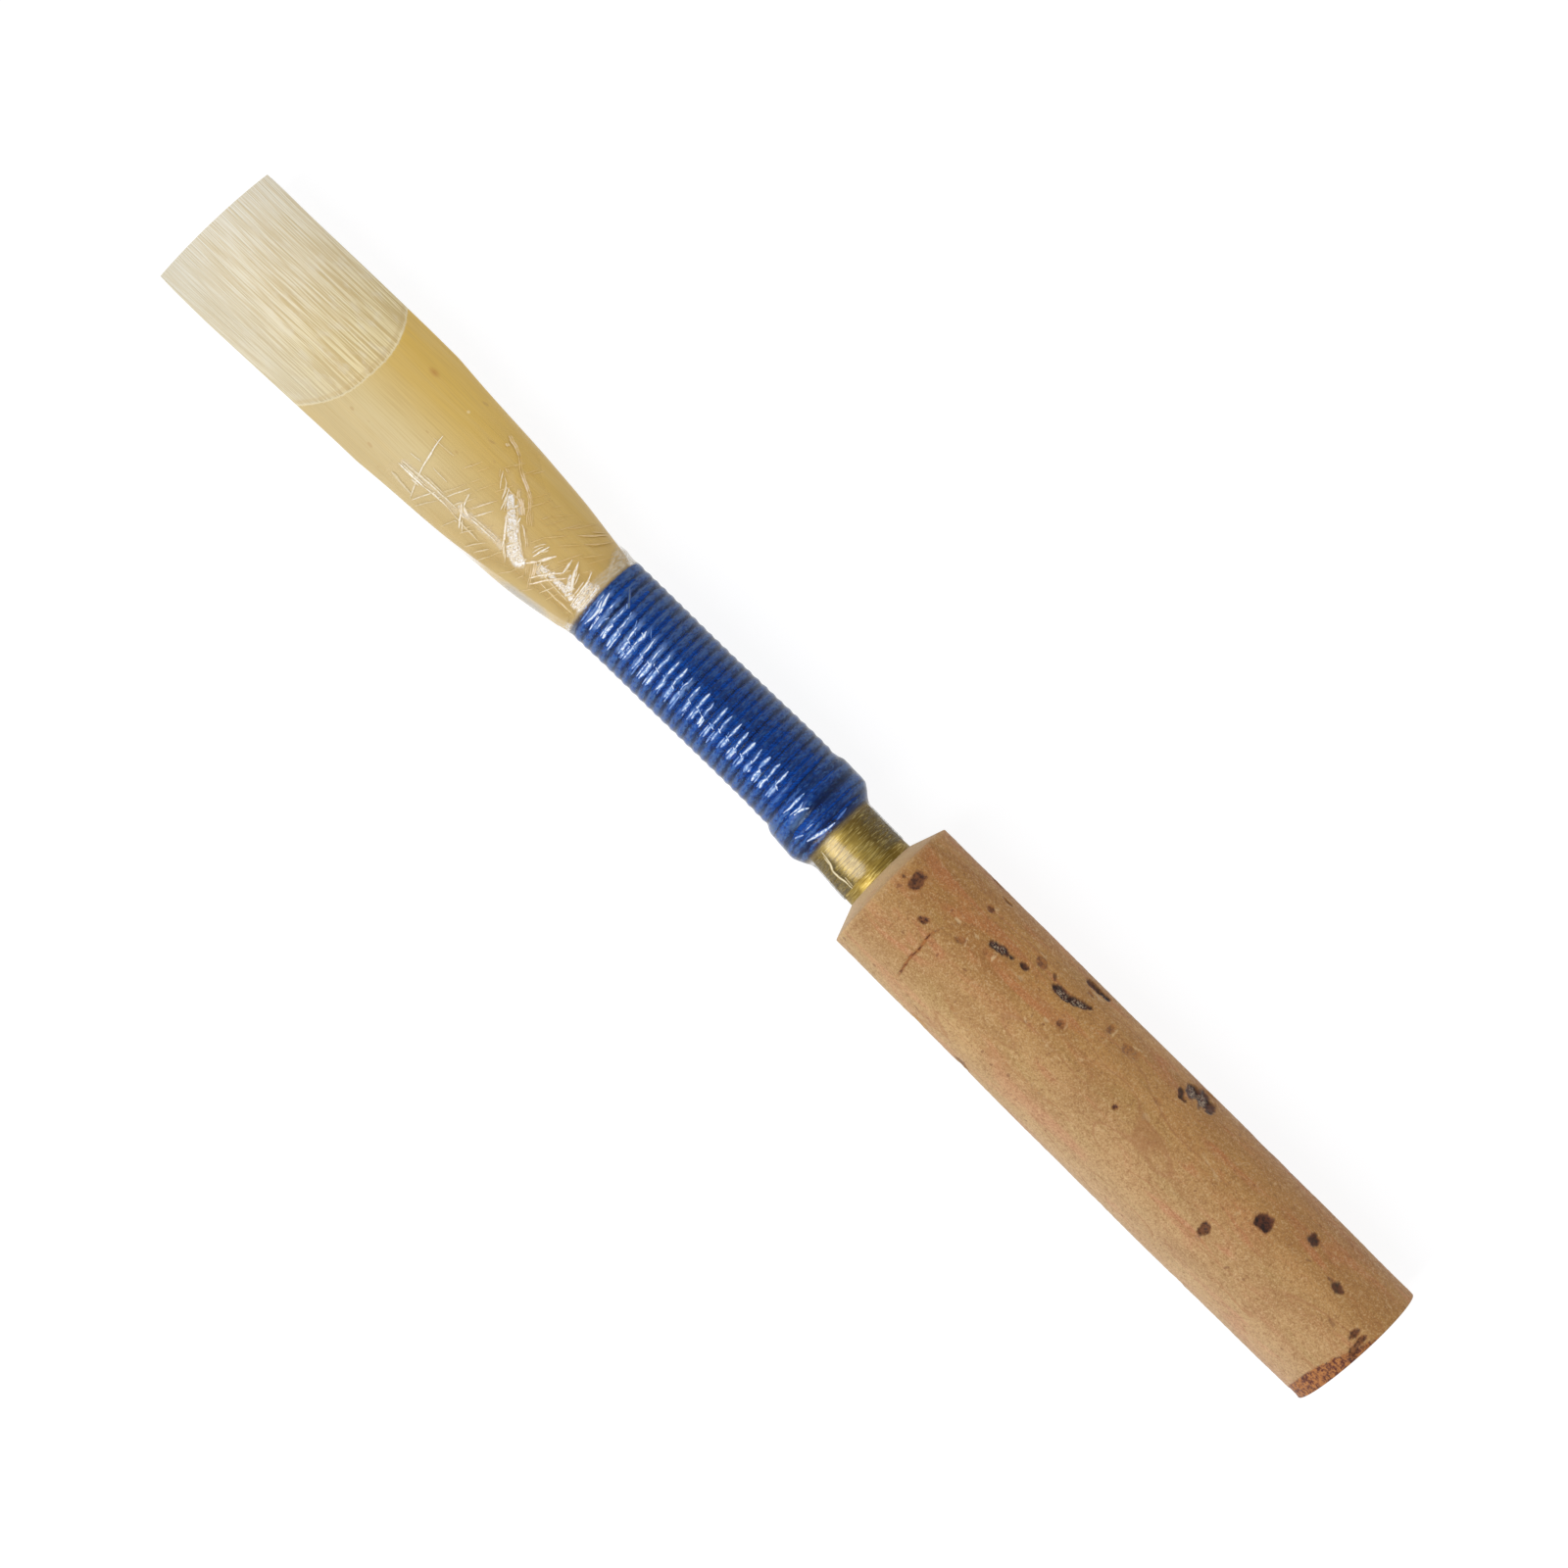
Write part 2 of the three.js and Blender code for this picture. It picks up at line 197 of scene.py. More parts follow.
def staple_ovality(station):
    share = np.clip((THROAT + STAPLE_OVAL_LENGTH - station) / STAPLE_OVAL_LENGTH, 0, 1)
    return STAPLE_TOP_OVALITY * share * share


def staple_half_width(station):
    return staple_radius(station) + staple_ovality(station)


def staple_half_height(station):
    return staple_radius(station) - staple_ovality(station)


def tied_share(station):
    return np.clip((station - THROAT) / (BUTT - THROAT), 0, 1)


def blade_half_width(station):
    """Straight sides near the tip, then a curve down to the throat, then the tied part on the staple."""
    tied = staple_half_width(station) + CANE_FIT + lerp(THROAT_SIDE_WALL, BUTT_WALL, tied_share(station))
    near_tip = lerp(BLADE_TIP_WIDTH, BLADE_SHOULDER_WIDTH, smooth(station, 0, 2 * BLADE_SHOULDER) * 2) / 2
    near_tip = near_tip - TIP_CORNER * np.exp(-((station / TIP_CORNER_REACH) ** 2))
    throat = staple_half_width(THROAT) + CANE_FIT + THROAT_SIDE_WALL
    share = np.clip((station - BLADE_SHOULDER) / (THROAT - BLADE_SHOULDER), 0, 1)
    square = share * share
    cube = square * share
    from_shoulder = (cube - 2 * square + share) * SHOULDER_SLOPE
    taper = from_shoulder + 3 * square - 2 * cube + (cube - square) * THROAT_SLOPE
    drawn_in = lerp(BLADE_SHOULDER_WIDTH / 2, throat, taper)
    free = np.where(station <= BLADE_SHOULDER, near_tip, drawn_in)
    free = free + FULLER_THROAT * within(station, *FULLER_STATIONS)
    return np.where(station >= THROAT, tied, free)


def hollow_half_height(station):
    tied = staple_half_height(station) + CANE_FIT
    throat = staple_half_height(THROAT) + CANE_FIT
    share = np.sin(np.clip(station / THROAT, 0, 1) * (math.pi / 2))
    return np.where(station >= THROAT, tied, lerp(TIP_OPENING / 2, throat, share))


def hollow_half_width(station):
    free = blade_half_width(station) - lerp(TIP_SIDE_WALL, THROAT_SIDE_WALL, station / THROAT)
    return np.where(station >= THROAT, staple_half_width(station) + CANE_FIT, free)


def scrape_line(across, lean):
    return SCRAPE_LENGTH - SCRAPE_RETREAT * np.abs(across) ** SCRAPE_LINE_POWER + lean * across


def cane_thickness(station, across, lean):
    line = scrape_line(across, lean)
    tip = lerp(TIP_THICKNESS, TIP_SIDE_THICKNESS, across * across)
    scraped = lerp(tip, HEART_THICKNESS, np.clip(station / line, 0, 1) ** SCRAPE_POWER)
    free = lerp(CANE_THICKNESS, scraped, np.clip((line - station) / SCRAPE_STEP_RUN, 0, 1))
    tied = lerp(CANE_THICKNESS, BUTT_WALL, tied_share(station))
    return np.where(station >= THROAT, tied, free)


def fullness(station):
    """How far a blade's section is from an ellipse, as the power of its sine."""
    return 2 * lerp(TIP_FULLNESS, THROAT_FULLNESS, np.clip(station / THROAT, 0, 1))


# What the thread lies on: the tied cane, then the bare brass.
def bed_half_axes(station):
    on_cane = np.minimum(station, BUTT)
    drop = smooth(station, BUTT, BUTT + BUTT_DROP_RUN)
    cane_height = hollow_half_height(on_cane) + cane_thickness(on_cane, 0.0 * on_cane, 0.0) + EDGE_GAP / 2
    width = lerp(blade_half_width(on_cane), staple_half_width(station) + BED_GAP, drop)
    height = lerp(cane_height, staple_half_height(station) + BED_GAP, drop)
    return width, height


# Meshes.
def grid_of(*parts):
    """A grid of points from their stations, Ys and Zs."""
    return np.stack(np.broadcast_arrays(*parts), axis=-1)


def rings(station, half_width, half_height, angles, full=1.0):
    """Points round the axis, which drifts with the sway. Angles run from +Y over +Z."""
    rise = np.sin(angles)
    z = half_height * np.sign(rise) * np.abs(rise) ** full
    return grid_of(station, half_width * np.cos(angles) + sway(station), z)


def listed(*grids):
    """The points of some grids, one after the other."""
    return np.concatenate([grid.reshape(-1, 3) for grid in grids])


def numbered(grid, first=0):
    """The number of each point in a grid."""
    return first + np.arange(grid[..., 0].size).reshape(grid.shape[:-1])


def quad_band(row_a, row_b, closed):
    """The quads between two rows of point numbers."""
    if closed:
        row_a = np.append(row_a, row_a[0])
        row_b = np.append(row_b, row_b[0])
    return np.stack([row_a[:-1], row_a[1:], row_b[1:], row_b[:-1]], axis=1)


def in_metres(points):
    """Points on a station, Y and Z in millimetres, set on the reed's axis in metres."""
    return (points + (-REED_LENGTH / 2, 0, AXIS_HEIGHT)) * MM


def mesh_of(name, points, quads):
    mesh = bpy.data.meshes.new(name)
    mesh.vertices.add(len(points))
    mesh.vertices.foreach_set("co", in_metres(points).astype(np.float32).ravel())
    mesh.loops.add(quads.size)
    mesh.loops.foreach_set("vertex_index", quads.astype(np.int32).ravel())
    mesh.polygons.add(len(quads))
    mesh.polygons.foreach_set("loop_start", np.arange(0, quads.size, 4, dtype=np.int32))
    mesh.update(calc_edges=True)
    mesh.validate()
    return mesh


def wall_mesh(name, outer, inner, closed):
    """A wall between an outer and an inner grid of points, joined at both ends."""
    out = numbered(outer)
    back = numbered(inner, out.size)
    bands = [quad_band(a, b, closed) for a, b in zip(out, out[1:])]
    bands += [quad_band(b, a, closed) for a, b in zip(back, back[1:])]
    bands.append(quad_band(back[0], out[0], closed))
    bands.append(quad_band(out[-1], back[-1], closed))
    if not closed:
        bands.append(quad_band(out[:, 0], back[:, 0], False))
        bands.append(quad_band(back[:, -1], out[:, -1], False))
    return mesh_of(name, listed(outer, inner), np.concatenate(bands))


def store_vectors(mesh, name, values):
    attribute = mesh.attributes.new(name, "FLOAT_VECTOR", "POINT")
    attribute.data.foreach_set("vector", values.astype(np.float32).ravel())


def put(name, data):
    """A new object in the scene."""
    made = bpy.data.objects.new(name, data)
    bpy.context.scene.collection.objects.link(made)
    return made


def show_piece(name, mesh, material, slot, sharp_angle, *nodes):
    """Puts a finished mesh in the scene, where it rides on the reed in place of its CAD nodes."""
    mesh.materials.clear()
    mesh.materials.append(material)
    mesh.shade_smooth()
    mesh.set_sharp_from_angle(angle=math.radians(sharp_angle))
    piece = put(name, mesh)
    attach(piece, "root")
    if nodes:
        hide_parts(*nodes)


def grain(points, scale, seed):
    """Smooth noise at each point of a grid, from about -1 to 1. scale is in features per millimetre."""
    shift = Vector((seed * 17.3, seed * 5.1, seed * 9.7))
    stretched = (points * np.asarray(scale)).reshape(-1, 3)
    values = [noise.noise(Vector(point) + shift) for point in stretched.tolist()]
    return np.array(values).reshape(points.shape[:-1])


# Lines in a plane: a station and a Y, or a station and a way round.
def way_to_line(along, across, line):
    """How far a grid's points lie from a line through points, and where on it that is, from 0 to 1."""
    nearest = np.full(along.shape, 1e9)
    share = np.zeros(along.shape)
    count = len(line) - 1
    for number, ((ax, ay), (bx, by)) in enumerate(zip(line, line[1:])):
        dx = bx - ax
        dy = by - ay
        on = np.clip(((along - ax) * dx + (across - ay) * dy) / (dx * dx + dy * dy), 0, 1)
        far = np.hypot(along - ax - on * dx, across - ay - on * dy)
        closer = far < nearest
        nearest = np.where(closer, far, nearest)
        share = np.where(closer, (number + on) / count, share)
    return nearest, share


def line_lengths(knots):
    """How far along a line each of its points lies."""
    return np.concatenate([[0], np.cumsum(np.hypot(*np.diff(knots, axis=0).T))])


def on_line(along, knots, lengths):
    """The station and Y of places along a line."""
    return np.stack([np.interp(along, lengths, knots[:, 0]), np.interp(along, lengths, knots[:, 1])])


def uneven_angles(top_count, bottom_count):
    """Angles round a ring from +Y over +Z, closer together on the upper half."""
    top = np.linspace(0, math.pi, top_count, endpoint=False)
    bottom = np.linspace(math.pi, 2 * math.pi, bottom_count, endpoint=False)
    return np.concatenate([top, bottom])


def srgb(red, green, blue):
    """A screen colour from 0 to 255 as linear values."""
    def linear(value):
        share = value / 255
        return share / 12.92 if share <= 0.04045 else ((share + 0.055) / 1.055) ** 2.4
    return linear(red), linear(green), linear(blue)


# Node trees. The same few calls make the finishes, the laid thread and the surroundings.
class Nodes:
    def __init__(self, tree):
        self.tree = tree

    def feed(self, socket, value):
        if isinstance(value, bpy.types.NodeSocket):
            self.tree.links.new(value, socket)
        else:
            socket.default_value = value

    def add(self, kind, inputs, output=0, **settings):
        """One output, or a slice of them, of a new node with these inputs and settings."""
        made = self.tree.nodes.new(kind)
        for name, value in settings.items():
            setattr(made, name, value)
        for name, value in inputs.items():
            self.feed(made.inputs[name], value)
        return made.outputs[output]

    def split(self, vector):
        return self.add("ShaderNodeSeparateXYZ", {0: vector}, slice(3))

    def math(self, operation, a, b=0.0, clamp=False):
        return self.add("ShaderNodeMath", {0: a, 1: b}, operation=operation, use_clamp=clamp)

    def times(self, a, b, clamp=False):
        return self.math("MULTIPLY", a, b, clamp)

    def plus(self, a, b, clamp=False):
        return self.math("ADD", a, b, clamp)

    def vector(self, operation, a, b, output="Vector"):
        return self.add("ShaderNodeVectorMath", {0: a, 1: b}, output, operation=operation)


# Finishes: each is one Principled shader whose colour, roughness and relief come from nodes.
class Finish(Nodes):
    def __init__(self, name):
        self.material = bpy.data.materials.new(name)
        self.material.use_nodes = True
        super().__init__(self.material.node_tree)
        self.shader = self.tree.nodes["Principled BSDF"]

    def place(self):
        """Object coordinates in millimetres."""
        return self.vector("MULTIPLY", self.add("ShaderNodeTexCoord", {}, "Object"), (1000, 1000, 1000))

    def attribute(self, name, output="Vector"):
        return self.add("ShaderNodeAttribute", {}, output, attribute_name=name)

    def noise(self, place, scale, detail, roughness=0.5, distortion=0.0, output="Fac"):
        """Noise at a scale in features per millimetre: one number, or one for each axis."""
        if isinstance(scale, tuple):
            place = self.vector("MULTIPLY", place, scale)
            scale = 1.0
        inputs = {"Vector": place, "Scale": scale, "Detail": detail, "Roughness": roughness}
        return self.add("ShaderNodeTexNoise", {**inputs, "Distortion": distortion}, output)

    def near(self, place, spot, scale):
        """How far a place is from a spot, in units of 1 / scale."""
        away = self.vector("MULTIPLY", self.vector("SUBTRACT", place, spot), scale)
        return self.add("ShaderNodeVectorMath", {0: away}, "Value", operation="LENGTH")

    def spread(self, value, low, high, to_low=0.0, to_high=1.0):
        """value between low and high, laid over to_low and to_high with soft ends."""
        inputs = {"Value": value, "From Min": low, "From Max": high, "To Min": to_low, "To Max": to_high}
        return self.add("ShaderNodeMapRange", inputs, "Result", interpolation_type="SMOOTHSTEP")

    def ramp(self, share, *stops):
        made = self.tree.nodes.new("ShaderNodeValToRGB")
        self.feed(made.inputs["Fac"], share)
        points = made.color_ramp.elements
        while len(points) < len(stops):
            points.new(1.0)
        for point, (position, *colour) in zip(points, stops):
            point.position = position
            point.color = (*srgb(*colour), 1)
        return made.outputs["Color"]

    def mix(self, share, a, b, blend="MIX"):
        """Mixes two colours, each a socket or linear values."""
        inputs = {"Factor": share}
        for name, colour in (("A", a), ("B", b)):
            inputs[name] = (*colour, 1) if isinstance(colour, tuple) else colour
        return self.add("ShaderNodeMix", inputs, "Result", data_type="RGBA", blend_type=blend)

    def between(self, share, a, b):
        return self.add("ShaderNodeMix", {"Factor": share, "A": a, "B": b}, "Result")

    def tint(self, colour, *layers):
        """Lays screen colours over a first one, each up to a share as its value goes from low to high."""
        for value, low, high, share, *shade in layers:
            colour = self.mix(self.spread(value, low, high, 0.0, share), colour, srgb(*shade))
        return colour

    def let_light_through(self, alpha):
        """Thin film scatters light on, so it casts almost no shadow on what it lies on."""
        shadow = self.add("ShaderNodeLightPath", {}, "Is Shadow Ray")
        return self.times(alpha, self.math("SUBTRACT", 1.0, self.times(shadow, 0.95)))

    def done(self, colour, rough, specular, relief, **others):
        """The finished material. relief is a height, how deep it goes in metres and its strength."""
        height, depth, strength = relief
        bump = {"Height": height, "Distance": depth, "Strength": strength}
        values = {"Base Color": colour, "Roughness": rough, "Specular IOR Level": specular}
        values["Normal"] = self.add("ShaderNodeBump", bump, "Normal")
        for name, value in (values | others).items():
            self.feed(self.shader.inputs[name.replace("_", " ")], value)
        return self.material


def bark_colour_with_painted_light(finish, station, around):
    """The bark's colour with painted light: paler on the lit side, where a sheen is painted, golden on the
    other, and warmer towards the thread, with painted shade on the lit side under the film and towards its
    edge.
    """
    # Painted sheen: pale towards the lit side, golden away from it.
    bark = finish.tint(
        srgb(214, 194, 143),
        (around, 1.6, -2.2, 1.0, 220, 182, 88),
        (station, 14.0, 24.5, 0.85, 201, 166, 89),
    )
    # Painted shade on the lit side, under the film.
    under = finish.times(finish.spread(around, -0.4, 0.8, 0.0, 0.34), finish.spread(station, 14.5, 17.5))
    bark = finish.mix(under, bark, srgb(192, 162, 92))
    # Painted shade on the lit side, towards its edge.
    return finish.tint(bark, (around, 0.6, 3.0, 0.4, 176, 152, 104))


# Cane: place is the station, the way round from the crown and the way to the scrape line, in millimetres.
def cane_finish():
    finish = Finish("cane")
    place = finish.attribute("cane_place")
    station, around, to_line = finish.split(place)
    fine = finish.noise(place, (0.26, 12.5, 0), 1.0)
    hair = finish.noise(place, (0.45, 21.0, 0), 0.0)
    broad = finish.noise(place, (0.12, 1.6, 0), 3.0, 0.6)
    mottle = finish.noise(place, (1.1, 2.2, 0), 3.0, 0.6)
    # The scraped part: cream at the tip, straw at the line, with fibres that show more where it is thicker.
    depth = finish.math("DIVIDE", station, SCRAPE_LENGTH)
    scraped = finish.ramp(
        depth,
        (0.0, 240, 236, 222),
        (0.25, 241, 232, 208),
        (0.5, 242, 230, 200),
        (0.8, 241, 226, 182),
        (1.0, 238, 219, 168),
    )
    shown = finish.spread(finish.plus(depth, finish.times(broad, 0.2)), 0.1, 1.0, 0.3, 0.85)
    lines = finish.times(finish.spread(fine, 0.42, 0.58), shown)
    scraped = finish.mix(lines, scraped, srgb(201, 174, 117))
    scraped = finish.tint(
        scraped,
        (hair, 0.44, 0.62, 0.42, 206, 182, 128),
        (mottle, 0.48, 0.72, 0.3, 238, 230, 212),
        # Painted shade: greyer towards the lit side, which evens out its lighting.
        (around, 0.2, 3.2, 0.5, 200, 193, 172),
    )
    # The bark is smooth, with faint streaks, a few small flecks, a rust spot and a pale spot.
    bark = finish.tint(
        bark_colour_with_painted_light(finish, station, around),
        (broad, 0.4, 0.75, 0.3, 221, 195, 136),
        (fine, 0.45, 0.7, 0.12, 192, 160, 92),
        (hair, 0.45, 0.7, 0.18, 176, 140, 74),
        (finish.noise(place, (1.3, 2.6, 0), 1.0), 0.72, 0.78, 0.4, 182, 138, 82),
        (finish.near(place, (12.5, -2.1, 0), (2.2, 4.0, 0)), 1.0, 0.0, 0.6, 186, 122, 56),
        (finish.near(place, (14.9, -1.9, 0), (9.0, 9.0, 0)), 1.0, 0.4, 0.6, 240, 220, 172),
    )
    # The cut edge of the bark along the scrape line is pale, with a thin shade above it.
    colour = finish.mix(finish.spread(to_line, -0.03, 0.03, 1.0, 0.0), scraped, bark)
    wandering = finish.plus(to_line, finish.times(finish.math("SUBTRACT", fine, 0.5), 0.2))
    to_edge = finish.math("ABSOLUTE", finish.math("SUBTRACT", wandering, 0.03))
    to_shade = finish.math("ABSOLUTE", finish.math("SUBTRACT", wandering, 0.24))
    colour = finish.mix(finish.spread(to_edge, 0.03, 0.1, 0.5, 0.0), colour, srgb(236, 222, 184))
    colour = finish.mix(finish.spread(to_shade, 0.04, 0.18, 0.35, 0.0), colour, srgb(200, 172, 118))
    # Fibres stand out a little where the cane is scraped, and hardly on the bark.
    fibres = finish.plus(finish.times(fine, 0.7), finish.times(hair, 0.3))
    relief = finish.times(fibres, finish.spread(to_line, -0.05, 0.1, 0.15, 1.0))
    # The bark is waxy, and smoother where the film lies on it.
    waxy = finish.spread(station, 13.9, 18.0, 0.4, 0.34)
    rough = finish.between(finish.spread(to_line, -0.05, 0.1), waxy, 0.66)
    rough = finish.plus(rough, finish.times(mottle, 0.08))
    return finish.done(colour, rough, 0.5, (relief, 0.00006, 0.8))


def brass_finish():
    finish = Finish("turned_brass")
    place = finish.place()
    side = finish.split(place)[1]
    turned = finish.noise(place, (15.0, 0.8, 0.8), 2.0, 0.6)
    scratches = finish.noise(place, (24.0, 2.2, 2.2), 1.0)
    tarnish = finish.noise(place, (0.9, 0.9, 0.9), 4.0, 0.6)
    colour = finish.tint(
        srgb(192, 165, 85),
        (tarnish, 0.35, 0.7, 1.0, 164, 138, 67),
        (turned, 0.44, 0.64, 0.65, 104, 82, 32),
        # Painted shade: darker on the side away from the light, and on the flank towards it.
        (side, 0.35, 1.0, 0.65, 88, 64, 18),
        (side, -0.75, -1.25, 0.35, 112, 94, 56),
        (scratches, 0.54, 0.7, 0.6, 232, 212, 140),
    )
    rough = finish.spread(tarnish, 0.3, 0.75, 0.46, 0.58)
    lines = finish.plus(finish.times(turned, 0.6), finish.times(scratches, 0.4))
    return finish.done(colour, rough, 0.5, (lines, 0.00003, 0.7), Metallic=1.0)


# Cork: marks are how black, how red-brown and how pale each spot is, from 0 to 1. The pale ones include
# painted highlights on the raised rims beside pits.
def cork_finish():
    finish = Finish("sanded_cork")
    place = finish.place()
    length_way, side, _ = finish.split(place)
    black, brown, pale = finish.split(finish.attribute("cork_marks"))
    cloud = finish.noise(place, (0.16, 0.5, 0.5), 4.0, 0.6, 0.6)
    streaks = finish.noise(place, (0.2, 0.95, 0.95), 4.0, 0.55, 0.9)
    speckle = finish.noise(place, 5.0, 3.0, 0.75)
    grit = finish.noise(place, 13.0, 1.0, 0.6)
    shifts = finish.vector("MULTIPLY", finish.noise(place, 3.0, 2.0, output="Color"), (0.2, 0.2, 0.2))
    cell_place = finish.vector("ADD", place, shifts)
    cell = finish.add("ShaderNodeTexVoronoi", {"Vector": cell_place, "Scale": 6.5}, "Distance")
    colour = finish.ramp(
        cloud,
        (0.3, 158, 113, 65),
        (0.45, 171, 130, 81),
        (0.6, 186, 146, 96),
        (0.75, 174, 128, 80),
    )
    colour = finish.tint(
        colour,
        (streaks, 0.5, 0.68, 0.75, 184, 122, 84),
        (streaks, 0.46, 0.3, 0.5, 170, 138, 84),
        # Painted sheen: paler towards the edge on the lit side.
        (side, -1.6, -3.2, 0.34, 204, 176, 138),
    )
    # Painted shade makes it darker and yellower on its side away from the light. It is also a little paler
    # towards its foot.
    shaded_far_side = finish.mix(finish.spread(side, -2.6, 2.6), (1.0, 1.0, 1.0), (0.98, 0.82, 0.52))
    paler = finish.mix(finish.spread(length_way, 14.0, 22.0), (1.0, 1.0, 0.9), (1.0, 1.02, 1.06))
    colour = finish.mix(1.0, colour, finish.mix(1.0, shaded_far_side, paler, "MULTIPLY"), "MULTIPLY")
    colour = finish.tint(
        colour,
        (speckle, 0.5, 0.72, 0.58, 138, 92, 52),
        (speckle, 0.48, 0.3, 0.56, 206, 170, 122),
        (grit, 0.5, 0.72, 0.4, 128, 86, 50),
        (grit, 0.46, 0.3, 0.35, 210, 176, 130),
    )
    growth = finish.noise(place, (0.13, 0.6, 0.6), 1.0, 0.4, 0.5)
    growth = finish.math("ABSOLUTE", finish.math("SUBTRACT", growth, 0.5))
    growth = finish.times(finish.spread(growth, 0.0, 0.015, 0.5, 0.0), finish.spread(cloud, 0.38, 0.56))
    colour = finish.mix(growth, colour, srgb(156, 102, 60))
    colour = finish.tint(colour, (finish.noise(place, 2.1, 1.0), 0.735, 0.775, 0.55, 118, 72, 40))
    # Pale marks, partly painted highlights on the rims beside pits.
    colour = finish.mix(finish.times(pale, 0.8), colour, srgb(226, 196, 148))
    rough_bark = finish.tint(srgb(90, 34, 8), (speckle, 0.4, 0.58, 1.0, 174, 112, 56))
    colour = finish.mix(brown, colour, rough_bark)
    # Where a black pit is pale as well, pale grains show on its floor.
    pit = finish.tint(srgb(26, 6, 0), (speckle, 0.35, 0.65, 1.0, 84, 38, 20))
    pit = finish.mix(finish.times(finish.spread(grit, 0.47, 0.57), pale), pit, srgb(168, 148, 124))
    colour = finish.mix(black, colour, pit)
    rough = finish.spread(speckle, 0.2, 0.8, 0.56, 0.74)
    height = finish.plus(finish.times(speckle, 0.7), finish.times(cell, 0.4))
    return finish.done(colour, rough, 0.4, (height, 0.00008, 0.6), Sheen_Weight=0.1)


# Thread: strand_place is where a point lies in the strand's own section, and strand_length how far along.
def thread_finish():
    finish = Finish("blue_thread")
    along = finish.times(finish.attribute("strand_length", "Fac"), 1400.0)
    lengthwise = finish.add("ShaderNodeCombineXYZ", {"Z": along})
    section = finish.vector("MULTIPLY", finish.attribute("strand_place"), (21000, 21000, 21000))
    fibres = finish.noise(finish.vector("ADD", section, lengthwise), 1.0, 2.0, 0.6)
    colour = finish.tint(
        srgb(2, 38, 108),
        (fibres, 0.36, 0.66, 1.0, 8, 86, 188),
        (finish.noise(finish.place(), 1.6, 3.0, 0.6), 0.4, 0.7, 0.4, 10, 46, 112),
        (fibres, 0.66, 0.8, 0.4, 86, 126, 182),
    )
    rough = finish.spread(fibres, 0.3, 0.7, 0.36, 0.6)
    return finish.done(colour, rough, 0.15, (fibres, 0.00004, 0.8))


